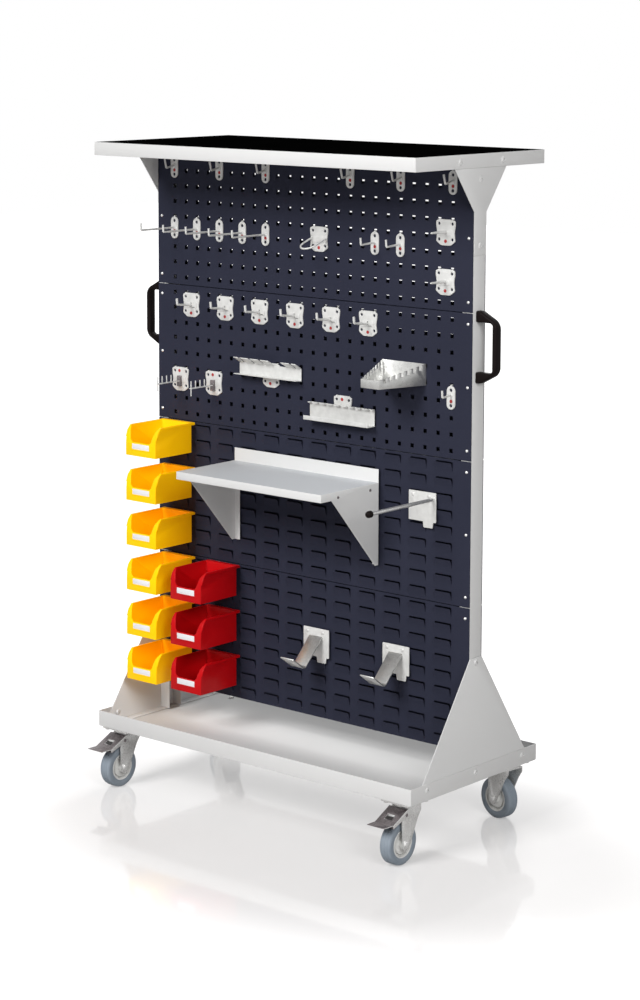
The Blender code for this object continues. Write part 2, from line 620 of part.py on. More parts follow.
piece("loop_hook", joined(wide_plate(), rod(loop, 0.0022)), ZINC, hook_at(12.5, 4))
short_hook = joined(narrow_plate(), rod([(0, -HOOK_T / 2, 0.007), (0, -0.030, 0.004), (0, -0.033, 0.006),
                                         (0, -0.035, 0.020)], 0.0025))
piece("short_hook", short_hook, ZINC, hook_at(COLUMNS - 1, ROWS + 4))
PRONGS, PRONG_STEP, PRONG_R, CARRIER_Z = 4, 0.016, 0.0015, -0.005
carrier_y = (-0.023 - PRONGS * PRONG_STEP, -HOOK_T / 2)
carrier = block((-0.004, 0.004), carrier_y, (CARRIER_Z - 0.001, CARRIER_Z + 0.001))
prongs = []
for prong in range(PRONGS):
    y, low = -0.020 - PRONG_STEP * (prong + 1), CARRIER_Z if prong < PRONGS - 1 else -0.024
    prongs.append(rod([(0, y, low), (0, y, 0.013)], PRONG_R, 4))
mesh = piece("prong_holder_1", joined(wide_plate(), carrier, *prongs), ZINC, hook_at(0.5, ROWS + 5)).data
placed("prong_holder_2", mesh, hook_at(3.5, ROWS + 5))

RAIL_W, RAIL_T, TEETH, SLOT_W = 0.200, 0.002, 9, 0.007


def rail(profile, slot_from, slot_levels):
    """A folded rail on a wide hook plate, with tool slots cut in from its front edge."""
    body = prism(profile, "X", -RAIL_W / 2, RAIL_W / 2)
    for tooth in range(1, TEETH):
        x = RAIL_W * (tooth / TEETH - 0.5)
        body = cut(body, block((x - SLOT_W / 2, x + SLOT_W / 2), (-0.1, slot_from), slot_levels))
    return joined(wide_plate(), body)


web_y = -HOOK_T / 2 - RAIL_T
low, high = -0.0065, 0.0255
cee = [(-HOOK_T / 2, low), (-HOOK_T / 2, high), (-0.028, high + 0.010), (-0.028, high + 0.010 - RAIL_T),
       (web_y, high - RAIL_T), (web_y, low + RAIL_T), (-0.028, low + 0.003 + RAIL_T), (-0.028, low + 0.003)]
piece("tool_rail_1", rail(cee, -0.014, (-0.1, 0.1)), ZINC, hook_at(8.5, ROWS + 4))
low, high = -0.0345, 0.0065
jay = [(-HOOK_T / 2, low), (-HOOK_T / 2, high), (-0.014, high), (-0.014, high - RAIL_T), (web_y, high - RAIL_T),
       (web_y, low + RAIL_T), (-0.028, low + RAIL_T), (-0.028, low + 0.010), (-0.030, low + 0.010), (-0.030, low)]
piece("tool_rail_2", rail(jay, -0.006, (0.0, 0.1)), ZINC, hook_at(14.5, ROWS + 5.5))

RACK_D, RACK_FRONT, RACK_BACK, RACK_LOW, RACK_HIGH, RACK_T = 0.126, 0.054, 0.130, 0.020, 0.050, 0.002
NOTCHES, NOTCH_W, NOTCH_H = 7, 0.007, 0.011


def rack_body():
    """A fan-shaped open box, low in front, with notches across both side walls."""
    def tray_ring(back, front, near, far, back_z, front_z):
        return [(-back, near, back_z), (back, near, back_z), (front, far, front_z), (-front, far, front_z)]

    inner_back, inner_front = RACK_BACK / 2 - RACK_T, RACK_FRONT / 2 - RACK_T
    rings = [tray_ring(RACK_BACK / 2, RACK_FRONT / 2, 0, -RACK_D, 0, 0),
             tray_ring(RACK_BACK / 2, RACK_FRONT / 2, 0, -RACK_D, RACK_HIGH, RACK_LOW),
             tray_ring(inner_back, inner_front, -RACK_T, RACK_T - RACK_D, RACK_HIGH, RACK_LOW),
             tray_ring(inner_back, inner_front, -RACK_T, RACK_T - RACK_D, RACK_T, RACK_T)]
    rack = lofted(rings)
    for notch in range(NOTCHES):
        y = -RACK_D * (notch + 1) / (NOTCHES + 1)
        top = RACK_HIGH + (RACK_LOW - RACK_HIGH) * -y / RACK_D
        rack = cut(rack, block((-0.1, 0.1), (y - NOTCH_W / 2, y + NOTCH_W / 2), (top - NOTCH_H, top + 0.01)))
    return rack


piece("spanner_rack", rack_body(), ZINC, (column_x(19.35), -PANEL_FACE - GAP, row_z(13) - 0.007))

# The origin lies on the floor under the middle of the outline: the braked wheels reach out in front

bpy.context.view_layer.update()
reach = []
for made in bpy.data.objects:
    if made.type == "MESH":
        reach += [(made.matrix_world @ vert.co).y for vert in made.data.vertices]
root.location.y = -(min(reach) + max(reach)) / 2
bpy.context.view_layer.update()
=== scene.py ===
"""Mobile tool panel trolley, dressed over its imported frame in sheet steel, plastic and rubber.

Sizes are in metres in the frame's own axes: the front faces -Y, +X is to the right and the floor is z = 0.
"""
import json
import math

import bmesh
import bpy
from mathutils import Matrix, Vector


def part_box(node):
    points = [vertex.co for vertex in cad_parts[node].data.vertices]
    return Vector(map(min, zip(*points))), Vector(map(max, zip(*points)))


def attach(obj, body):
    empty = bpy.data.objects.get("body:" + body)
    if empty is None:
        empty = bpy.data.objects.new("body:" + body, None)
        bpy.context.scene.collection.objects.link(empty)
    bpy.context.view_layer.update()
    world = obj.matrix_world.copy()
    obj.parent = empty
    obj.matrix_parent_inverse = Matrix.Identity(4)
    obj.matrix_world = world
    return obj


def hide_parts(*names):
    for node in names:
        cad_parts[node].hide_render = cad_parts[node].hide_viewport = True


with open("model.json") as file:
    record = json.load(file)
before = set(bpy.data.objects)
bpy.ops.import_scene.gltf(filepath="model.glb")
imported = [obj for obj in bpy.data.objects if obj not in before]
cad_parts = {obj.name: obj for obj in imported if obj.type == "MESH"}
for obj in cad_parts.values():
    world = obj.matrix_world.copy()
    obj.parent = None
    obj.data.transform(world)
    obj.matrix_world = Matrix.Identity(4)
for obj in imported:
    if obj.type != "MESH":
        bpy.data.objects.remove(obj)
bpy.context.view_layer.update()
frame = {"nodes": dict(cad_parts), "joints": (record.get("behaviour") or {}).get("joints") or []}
nodes = frame["nodes"]
joints = {joint["name"]: joint for joint in frame["joints"]}


# Base tray: a pan folded from 2 mm sheet steel, with a rim all round and welded corners.
# It is powder coated light grey, a satin skin with a faint orange-peel grain. The posts
# stand in it and the castors are bolted up under it.

NOISE_BAND = (0.3, 0.7)
RANGE_SOCKETS = ("From Min", "From Max", "To Min", "To Max")
SMOOTH_TO = math.radians(38)


def surface_grain():
    """A node group of fine grain and broad clouds over the piece's own coordinates, both from 0 to 1."""
    group = bpy.data.node_groups.new("surface_grain", "ShaderNodeTree")
    for name in ("Grain", "Cloud"):
        group.interface.new_socket(name + " Scale", in_out="INPUT", socket_type="NodeSocketFloat")
        group.interface.new_socket(name, in_out="OUTPUT", socket_type="NodeSocketFloat")
    start = group.nodes.new("NodeGroupInput")
    end = group.nodes.new("NodeGroupOutput")
    place = group.nodes.new("ShaderNodeTexCoord")
    for name, detail in (("Grain", 2.0), ("Cloud", 4.0)):
        noise = group.nodes.new("ShaderNodeTexNoise")
        noise.inputs["Detail"].default_value = detail
        group.links.new(place.outputs["Object"], noise.inputs["Vector"])
        group.links.new(start.outputs[name + " Scale"], noise.inputs["Scale"])
        group.links.new(noise.outputs["Fac"], end.inputs[name])
    return group


GRAIN = surface_grain()


def finish(name, shades, gloss, grain, cloud, relief, metallic=0.0, specular=0.5):
    """A coat that drifts between two shades; grain and cloud are counts per metre, relief is a height."""
    made = bpy.data.materials.new(name)
    made.use_nodes = True
    tree = made.node_tree
    shader = tree.nodes["Principled BSDF"]
    shader.inputs["Metallic"].default_value = metallic
    shader.inputs["Specular IOR Level"].default_value = specular
    skin = tree.nodes.new("ShaderNodeGroup")
    skin.node_tree = GRAIN
    skin.inputs["Grain Scale"].default_value = grain
    skin.inputs["Cloud Scale"].default_value = cloud
    tint = tree.nodes.new("ShaderNodeValToRGB")
    for stop, place, shade in zip(tint.color_ramp.elements, NOISE_BAND, shades):
        stop.position = place
        stop.color = (*shade, 1.0)
    tree.links.new(skin.outputs["Cloud"], tint.inputs["Fac"])
    tree.links.new(tint.outputs["Color"], shader.inputs["Base Color"])
    sheen = tree.nodes.new("ShaderNodeMapRange")
    for socket, value in zip(RANGE_SOCKETS, (*NOISE_BAND, *gloss)):
        sheen.inputs[socket].default_value = value
    tree.links.new(skin.outputs["Grain"], sheen.inputs["Value"])
    tree.links.new(sheen.outputs["Result"], shader.inputs["Roughness"])
    bump = tree.nodes.new("ShaderNodeBump")
    bump.inputs["Distance"].default_value = relief
    tree.links.new(skin.outputs["Grain"], bump.inputs["Height"])
    tree.links.new(bump.outputs["Normal"], shader.inputs["Normal"])
    return made


def shown(name, coat, form):
    """An object with one coat from a form, which is used up."""
    mesh = bpy.data.meshes.new(name)
    form.to_mesh(mesh)
    form.free()
    mesh.materials.append(coat)
    mesh.shade_smooth()
    mesh.set_sharp_from_angle(angle=SMOOTH_TO)
    made = bpy.data.objects.new(name, mesh)
    bpy.context.scene.collection.objects.link(made)
    return made


def piece(name, body, slot, coat, form, *stands_for):
    """A finished piece that rides on a body, and may stand for solids of the frame."""
    made = shown(name, coat, form)
    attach(made, body)
    if stands_for:
        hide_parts(*stands_for)
    return made


def box(low, high):
    """A closed box between two corners."""
    form = bmesh.new()
    middle, size = (Vector(low) + Vector(high)) / 2, Vector(high) - Vector(low)
    bmesh.ops.create_cube(form, size=1, matrix=Matrix.Translation(middle) @ Matrix.Diagonal((*size, 1)))
    return form


def eased(form, where, radius, segments=2, affect="EDGES"):
    """The form with some of its edges, or of its corner points, rounded."""
    bmesh.ops.bevel(form, geom=list(where), offset=radius, offset_type="OFFSET", segments=segments,
                    profile=0.5, affect=affect, clamp_overlap=True, material=-1)
    return form


def uppermost(form):
    """The highest face of a form."""
    return max(form.faces, key=lambda face: face.calc_center_median().z)


GREY_SLOT = "light_grey_powder_coat"
GREY_COAT = finish(GREY_SLOT, ((0.655, 0.655, 0.65), (0.68, 0.68, 0.675)), gloss=(0.42, 0.54),
                   grain=1500, cloud=3, relief=0.00002, specular=0.18)
SHEET, FOLD = 0.002, 0.003
CASTOR_PLATE_T, SWIVEL_HEAD_T = 0.003, 0.010
tray_low, tray_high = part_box("base_tray")
tray_under = tray_low.z + CASTOR_PLATE_T + SWIVEL_HEAD_T
tray = box((tray_low.x, tray_low.y, tray_under), tray_high)
bmesh.ops.delete(tray, geom=[uppermost(tray)], context="FACES_ONLY")
eased(tray, [edge for edge in tray.edges if len(edge.link_faces) == 2], FOLD)
bmesh.ops.solidify(tray, geom=list(tray.faces), thickness=SHEET)
piece("tray_pan", "trolley", GREY_SLOT, GREY_COAT, tray, "base_tray")


# Castor plates: stamped steel, bright zinc plated, each bolted up under a corner of the tray.
# The two rings of the ball race are pressed on below the plate, and four hexagon bolts
# with nuts inside the tray hold it.

WELD, HEX_CHAMFER = 1e-6, 0.15


def closed(form):
    """The form with its doubled points merged and its faces turned outwards."""
    bmesh.ops.remove_doubles(form, verts=form.verts, dist=WELD)
    bmesh.ops.recalc_face_normals(form, faces=form.faces)
    return form


def stood(form, at, axis):
    """The form moved from the origin to a place, with its Z turned along an axis."""
    turn = Vector((0, 0, 1)).rotation_difference(Vector(axis)).to_matrix().to_4x4()
    form.transform(Matrix.Translation(at) @ turn)
    return form


def turned(profile, at, axis=(0, 0, 1), steps=32):
    """A profile of (radius, height) points spun round an axis through a place."""
    form = bmesh.new()
    spots = [form.verts.new((radius, 0, height)) for radius, height in profile]
    line = [form.edges.new(pair) for pair in zip(spots, spots[1:])]
    bmesh.ops.spin(form, geom=spots + line, cent=(0, 0, 0), axis=(0, 0, 1), angle=2 * math.pi,
                   steps=steps, use_merge=True)
    return stood(closed(form), at, axis)


def together(forms):
    """Several forms as one."""
    whole = bmesh.new()
    for form in forms:
        part = bpy.data.meshes.new("part")
        form.to_mesh(part)
        form.free()
        whole.from_mesh(part)
        bpy.data.meshes.remove(part)
    return whole


def stud(sides, low_radius, high_radius, height):
    """A stud of so many sides that stands on the origin."""
    form = bmesh.new()
    bmesh.ops.create_cone(form, cap_ends=True, segments=sides, radius1=low_radius, radius2=high_radius,
                          depth=height, matrix=Matrix.Translation((0, 0, height / 2)))
    return form


def hexagon(at, axis, across, height):
    """A hexagon bolt head or nut with a chamfer, standing on a place along an axis."""
    form = stud(6, across / 2, across / 2, height)
    return stood(eased(form, uppermost(form).edges, HEX_CHAMFER * height), at, axis)


ZINC_SLOT = "zinc_plate"
BRIGHT_ZINC = finish("bright_zinc", ((0.64, 0.64, 0.63), (0.74, 0.74, 0.73)), gloss=(0.24, 0.36),
                     grain=700, cloud=60, relief=0.00001, metallic=0.7)
CORNERS = ("fl", "fr", "rl", "rr")
PLATE_X, PLATE_Y, PLATE_CORNER = 0.042, 0.044, 0.008
BOLT_X, BOLT_Y, BOLT_ACROSS, BOLT_H = 0.031, 0.033, 0.013, 0.005
RACE = ((0, 0), (0.029, 0), (0.029, -0.004), (0.0262, -0.0054), (0.0285, -0.0068), (0.0285, -0.0098),
        (0, -0.0098))
below, reach = Vector((0, 0, -CASTOR_PLATE_T)), Vector((PLATE_X, PLATE_Y, 0))
for corner in CORNERS:
    spot = Vector(joints["swivel_turn_" + corner]["pos_m"])
    spot.z = tray_under
    plate = box(spot - reach + below, spot + reach)
    upright = [edge for edge in plate.edges
               if abs(edge.verts[0].co.z - edge.verts[1].co.z) > CASTOR_PLATE_T / 2]
    eased(plate, upright, PLATE_CORNER, segments=4)
    forms = [plate, turned(RACE, spot + below)]
    for x in (-BOLT_X, BOLT_X):
        for y in (-BOLT_Y, BOLT_Y):
            under = spot + Vector((x, y, -CASTOR_PLATE_T))
            forms.append(hexagon(under, (0, 0, -1), BOLT_ACROSS, BOLT_H))
            forms.append(hexagon(spot + Vector((x, y, SHEET)), (0, 0, 1), BOLT_ACROSS, BOLT_H))
    piece("castor_plate_" + corner, "trolley", ZINC_SLOT, BRIGHT_ZINC, together(forms))


# Castor forks: two cheeks pressed from one zinc plated sheet under a flat crown, with the
# wheel's axle bolted through them. The front pair also carries the pin of the brake pedal.

NODE_WELD, FLAT_TO, SHARP_FROM = 2e-6, math.radians(1), 0.5


def copied(node):
    """A copy of a solid of the frame, with its loose triangles joined."""
    form = bmesh.new()
    form.from_mesh(nodes[node].data)
    bmesh.ops.remove_doubles(form, verts=form.verts, dist=NODE_WELD)
    return form


def sharp_edges(form, angle):
    """The edges at which two faces meet at more than an angle."""
    return [edge for edge in form.edges if len(edge.link_faces) == 2 and edge.calc_face_angle() > angle]


def worked(node, radius):
    """A copy of a solid of the frame with its flat faces made whole and its sharp edges rounded."""
    form = copied(node)
    bmesh.ops.dissolve_limit(form, angle_limit=FLAT_TO, verts=form.verts, edges=form.edges)
    return eased(form, sharp_edges(form, SHARP_FROM), radius)


FORK_OUTSIDE, FORK_EDGE = 0.024, 0.0008
AXLE_NUT, AXLE_END, WASHER_T = 0.017, 0.0042, 0.0014
WASHER = ((0, 0), (0.011, 0), (0.011, 0.001), (0.0095, WASHER_T), (0, WASHER_T))
for corner in CORNERS:
    axle = Vector(joints["wheel_spin_" + corner]["pos_m"])
    along = Vector(joints["wheel_spin_" + corner]["axis"]).normalized()
    forms = [worked("fork_" + corner, FORK_EDGE)]
    for way in (-along, along):
        forms.append(turned(WASHER, axle + way * FORK_OUTSIDE, way, steps=20))
        nut_at = axle + way * (FORK_OUTSIDE + WASHER_T)
        forms.append(hexagon(nut_at, way, AXLE_NUT, AXLE_END - WASHER_T))
    piece("castor_fork_" + corner, "swivel_" + corner, ZINC_SLOT, BRIGHT_ZINC, together(forms),
          "fork_" + corner)


# Wheels: a grey rubber tyre with shallow tread grooves, pressed on a light hub with a raised
# lip, a dished web and a boss that runs on the axle.

TYRE_SLOT = "grey_rubber"
TYRE = finish(TYRE_SLOT, ((0.225, 0.265, 0.31), (0.265, 0.305, 0.35)), gloss=(0.55, 0.75),
              grain=900, cloud=25, relief=0.00006, specular=0.3)
HUB = finish("hub_plastic", ((0.70, 0.70, 0.68), (0.78, 0.78, 0.76)), gloss=(0.35, 0.5),
             grain=900, cloud=30, relief=0.00003)
TYRE_R, TREAD_HALF = 0.050, 0.0118
GROOVES, GROOVE_W, GROOVE_D = 3, 0.0012, 0.0008
SHOULDER = [(0.0335, -0.0140), (0.0365, -0.0157), (0.0438, -0.0156), (0.0478, -0.0145), (0.0494, -0.0127)]
HUB_HALF = [(0.0055, 0.0208), (0.0105, 0.0208), (0.0120, 0.0195), (0.0128, 0.0118), (0.0165, 0.0100),
            (0.0240, 0.0112), (0.0256, 0.0040), (0.0284, 0.0040), (0.0296, 0.0142), (0.0326, 0.0147),
            (0.0336, 0.0135)]
tread = list(SHOULDER)
for groove in range(GROOVES):
    middle = TREAD_HALF * (2 * (groove + 0.5) / GROOVES - 1)
    tread += [(TYRE_R, middle - GROOVE_W), (TYRE_R - GROOVE_D, middle - GROOVE_W / 3)]
    tread += [(TYRE_R - GROOVE_D, middle + GROOVE_W / 3), (TYRE_R, middle + GROOVE_W)]
tread += [(radius, -height) for radius, height in reversed(SHOULDER)] + SHOULDER[:1]
hub = HUB_HALF + [(radius, -height) for radius, height in reversed(HUB_HALF)] + HUB_HALF[:1]
for corner in CORNERS:
    axle = Vector(joints["wheel_spin_" + corner]["pos_m"])
    along = Vector(joints["wheel_spin_" + corner]["axis"])
    tyre = turned(tread, axle, along, steps=64)
    piece("tyre_" + corner, "roller_" + corner, TYRE_SLOT, TYRE, tyre, "wheel_" + corner)
    piece("hub_" + corner, "roller_" + corner, TYRE_SLOT, HUB, turned(hub, axle, along, steps=48))


# Brake pedals: folded steel levers on the front forks, dark and glossy on top with a bright catch above
# a black inset, and plain zinc on the cheeks that hang on the fork's pin. The black inset is painted
# shade, where the window below the catch shows only shadow. A thin lip sticks out in front.

def soft_box(low, high, radius):
    """A closed box with all its edges rounded."""
    form = box(low, high)
    return eased(form, form.edges, radius)


DARK_SLOT = "dark_plated_steel"
DARK_STEEL = finish(DARK_SLOT, ((0.17, 0.15, 0.155), (0.27, 0.245, 0.25)), gloss=(0.24, 0.36),
                    grain=600, cloud=80, relief=0.00001, metallic=0.8)
WINDOW_PAINTED_SHADE = finish("window_painted_shade", ((0.010, 0.009, 0.009), (0.020, 0.018, 0.018)), gloss=(0.4, 0.55),
                    grain=900, cloud=60, relief=0.00002)
PIN_HEAD = ((0, 0), (0.0042, 0), (0.0042, 0.0006), (0.003, 0.0013), (0, 0.0014))
PEDAL_OUTSIDE, PEDAL_SLOPE, PEDAL_EDGE = 0.0267, math.radians(26.3), 0.0006
CHEEK_FROM, INSET_EDGE = 0.7, 0.0004
# The black inset under the catch is painted shade, filling the lower half of the pedal's window.
PEDAL_INSETS = (("pedal_catch_", ZINC_SLOT, BRIGHT_ZINC, (0.0085, 0.0042, 0.0010), (0, -0.0202, -0.0003)),
                ("pedal_window_shade_", DARK_SLOT, WINDOW_PAINTED_SHADE, (0.0110, 0.0048, 0.0007), (0, -0.0289, -0.0052)))
for corner in CORNERS[:2]:
    pin = Vector(joints["pedal_press_" + corner]["pos_m"])
    lever = worked("pedal_" + corner, PEDAL_EDGE)
    for face in lever.faces:
        face.material_index = 1 if abs(face.normal.x) > CHEEK_FROM else 0
    made = piece("pedal_lever_" + corner, "brake_" + corner, DARK_SLOT, DARK_STEEL, lever, "pedal_" + corner)
    made.data.materials.append(BRIGHT_ZINC)
    heads = [turned(PIN_HEAD, pin + Vector((side * PEDAL_OUTSIDE, 0, 0)), (side, 0, 0), steps=16)
             for side in (-1, 1)]
    piece("pedal_pin_" + corner, "brake_" + corner, DARK_SLOT, DARK_STEEL, together(heads))
    for name, slot, coat, half, at in PEDAL_INSETS:
        inset = soft_box(-Vector(half), half, INSET_EDGE)
        inset.transform(Matrix.Translation(pin + Vector(at)) @ Matrix.Rotation(PEDAL_SLOPE, 4, "X"))
        piece(name + corner, "brake_" + corner, slot, coat, inset)


# Posts and gussets: channels folded from 2 mm sheet, with a spreading plate at the head and a
# triangular one at the foot, all powder coated light grey. Low round bolts with a sunk socket,
# coated with the frame, hold plates, posts and rims together.

POST_EDGE, HEAD_TAPER, SOCKET_IN, SOCKET_DEEP = 0.0007, 0.72, 0.30, 0.7
for side in ("left", "right"):
    for part in ("post_", "head_plate_", "foot_plate_"):
        form = worked(part + side, POST_EDGE)
        piece(part + side + "_coated", "trolley", GREY_SLOT, GREY_COAT, form, part + side)


def socket_bolt(at, axis, radius=0.0080, height=0.0030):
    """A low round bolt head with a sunk socket, standing on a place along an axis."""
    form = stud(18, radius, HEAD_TAPER * radius, height)
    cap = uppermost(form)
    bmesh.ops.inset_individual(form, faces=[cap], thickness=SOCKET_IN * radius)
    drop = bmesh.ops.extrude_discrete_faces(form, faces=[cap])["faces"][0]
    bmesh.ops.translate(form, vec=(0, 0, -SOCKET_DEEP * height), verts=drop.verts)
    return stood(form, at, axis)


FOOT_BOLT_UP, TRAY_BOLT_DOWN, TRAY_BOLT_APART, NUT_IN = 0.247, 0.015, 0.183, 0.009
HEAD_BOLTS_DOWN, TOP_BOLT_DOWN, TOP_BOLT_APART = (0.209, 0.058), 0.017, 0.080
post_low, post_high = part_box("post_left")
mid_y = (post_low.y + post_high.y) / 2
top_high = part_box("table_top")[1]
foot_x, head_x = (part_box(part + "_plate_right")[1].x for part in ("foot", "head"))
spots = [(foot_x, 0, tray_high.z + FOOT_BOLT_UP)]
spots += [(tray_high.x, y, tray_high.z - TRAY_BOLT_DOWN) for y in (-TRAY_BOLT_APART, 0, TRAY_BOLT_APART)]
spots += [(head_x, 0, top_high.z - down) for down in HEAD_BOLTS_DOWN]
spots += [(top_high.x, y, top_high.z - TOP_BOLT_DOWN) for y in (-TOP_BOLT_APART, TOP_BOLT_APART)]
for side, word in ((-1, "left"), (1, "right")):
    forms = []
    for x, y, z in spots:
        forms.append(socket_bolt((side * x, mid_y + y, z), (side, 0, 0)))
        if x == tray_high.x:
            forms.append(hexagon((side * (x - NUT_IN), mid_y + y, z), (-side, 0, 0), BOLT_ACROSS, BOLT_H))
    piece("frame_bolts_" + word, "trolley", GREY_SLOT, GREY_COAT, together(forms))


# Table top: a shallow steel pan turned rim down, coated like the frame, with a bed on top.
# A black rubber mat with fine ribs along its length lies loose in the bed.

def drawn_out(form, line, way):
    """Draws an edge of a form out along a vector, and gives the new edge."""
    line = next(item for item in bmesh.ops.extrude_edge_only(form, edges=[line])["geom"]
                if isinstance(item, bmesh.types.BMEdge))
    bmesh.ops.translate(form, vec=way, verts=line.verts)
    return line


def walled(form, thick):
    """A sheet of single faces, turned all one way and given a thickness."""
    bmesh.ops.recalc_face_normals(form, faces=form.faces)
    bmesh.ops.solidify(form, geom=list(form.faces), thickness=thick)
    return form


TOP_EDGE = 0.0008
piece("top_pan", "trolley", GREY_SLOT, GREY_COAT, worked("table_top", TOP_EDGE), "table_top")
MAT_SLOT = "black_rubber"
MAT = finish(MAT_SLOT, ((0.0008, 0.0008, 0.0008), (0.0014, 0.0014, 0.0014)), gloss=(0.85, 0.98),
             grain=900, cloud=8, relief=0.00003, specular=0.0)
RIBS, RIB_H = 120, 0.0006
RIB_LIFTS = (RIB_H, 0, -RIB_H, 0)
mat_low, mat_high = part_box("top_mat")
mat = bmesh.new()
line = mat.edges.new([mat.verts.new((x, mat_low.y, mat_high.z - RIB_H)) for x in (mat_low.x, mat_high.x)])
step = (mat_high.y - mat_low.y) / (len(RIB_LIFTS) * RIBS)
for lift in RIB_LIFTS * RIBS:
    line = drawn_out(mat, line, (0, step, lift))
walled(mat, mat_high.z - RIB_H - mat_low.z)
piece("ribbed_mat", "trolley", MAT_SLOT, MAT, mat, "top_mat")


# Perforated panels: 1.5 mm sheet punched with square holes on a 38 mm grid, powder coated anthracite,
# two above each other in front and two behind. The front ones are the frame's own sheets with the
# coat; the rear ones are those sheets turned round, with their holes slightly higher and to the side.

PANEL_SLOT = "anthracite_powder_coat"
PANEL_COAT = finish(PANEL_SLOT, ((0.0225, 0.0245, 0.041), (0.0260, 0.0280, 0.046)), gloss=(0.50, 0.64),
                    grain=1500, cloud=4, relief=0.00003, specular=0.06)
REAR_SHIFT = (0.0015, 0, 0.002)
panel_low, panel_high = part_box("panel_front_1")
to_rear = (Matrix.Translation((0, mid_y, 0)) @ Matrix.Rotation(math.pi, 4, "Z")
           @ Matrix.Translation((0, -mid_y, 0)))
for number in (1, 2):
    node = f"panel_front_{number}"
    low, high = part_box(node)
    nodes[node].data.materials[0] = PANEL_COAT
    punched = copied(node)
    punched.transform(to_rear)
    inner = [vert for vert in punched.verts if abs(vert.co.x) < high.x - SHEET
             and low.z + SHEET < vert.co.z < high.z - SHEET]
    bmesh.ops.translate(punched, vec=REAR_SHIFT, verts=inner)
    piece(f"perforated_rear_{number}", "trolley", PANEL_SLOT, PANEL_COAT, punched, f"panel_rear_{number}")


# Louvred panels: the same coated sheet, with rows of tongues cut on three sides and bent out from
# their lower edge, over which a bin or holder hooks. Narrow flanges at the top and bottom are folded
# back, and the rear sheets' louvres sit slightly higher and to the side.

PITCH, ROWS, LOUVRES = 0.038, 9, 12
TONGUE_HALF, TONGUE_LOW, TONGUE_HIGH, TONGUE_ROUND, TONGUE_OUT = 0.024, -0.0105, 0.0100, 0.003, 0.0058
SLIT_SIDE, SLIT_OVER, FOLD_BACK, NEAR = 0.0003, 0.0022, 0.011, 1e-5
LOUVRE_SHIFT, LOUVRE_RISE = 0.018, 0.0035
FORWARD = (0, -1, 0)
PANEL_T, PANEL_H, PANEL_HALF = panel_high.y - panel_low.y, panel_high.z - panel_low.z, panel_high.x


def arc(x, z, radius, start, stop, steps):
    """Points along part of a circle in the plane of the panels, from one angle to another in degrees."""
    turns = [math.radians(start + (stop - start) * step / steps) for step in range(steps + 1)]
    return [(x + radius * math.cos(turn), z + radius * math.sin(turn)) for turn in turns]


def verts_of(geom):
    """The points among a mixed list of a mesh's elements."""
    return [item for item in geom if isinstance(item, bmesh.types.BMVert)]


def louvre_tile(sheet):
    """Makes one louvre at the origin in a tile of flat sheet with its tongue bent out, and lists it all."""
    bend = [sheet.verts.new((x, 0, TONGUE_LOW)) for x in (-TONGUE_HALF, TONGUE_HALF)]
    rings = []
    for side, over in ((0, 0), (SLIT_SIDE, SLIT_OVER)):
        round_x, round_z = TONGUE_HALF + side - TONGUE_ROUND, TONGUE_HIGH + over - TONGUE_ROUND
        upper = arc(round_x, round_z, TONGUE_ROUND, 0, 90, steps=3)
        upper += arc(-round_x, round_z, TONGUE_ROUND, 90, 180, steps=3)
        rings.append([sheet.verts.new((x, 0, z)) for x, z in upper])
    tongue = bend + rings[0]
    ends = [sheet.verts.new((way * (TONGUE_HALF + SLIT_SIDE), 0, TONGUE_LOW)) for way in (-1, 1)]
    slit = [ends[0], *bend, ends[1], *rings[1]]
    corners = ((-PITCH, -PITCH / 2), (PITCH, -PITCH / 2), (PITCH, PITCH / 2), (-PITCH, PITCH / 2))
    border = [sheet.verts.new((x, 0, z)) for x, z in corners]
    rims = []
    for ring in (border, slit):
        rims += [sheet.edges.new(pair) for pair in zip(ring, ring[1:] + ring[:1])]
    bmesh.ops.triangle_fill(sheet, use_beauty=True, edges=rims, normal=FORWARD)
    sheet.faces.new(tongue)
    lean = math.asin(TONGUE_OUT / (TONGUE_HIGH - TONGUE_LOW))
    bmesh.ops.rotate(sheet, verts=tongue[2:], cent=(0, 0, TONGUE_LOW), matrix=Matrix.Rotation(lean, 3, "X"))
    return list(sheet.verts) + list(sheet.edges) + list(sheet.faces)


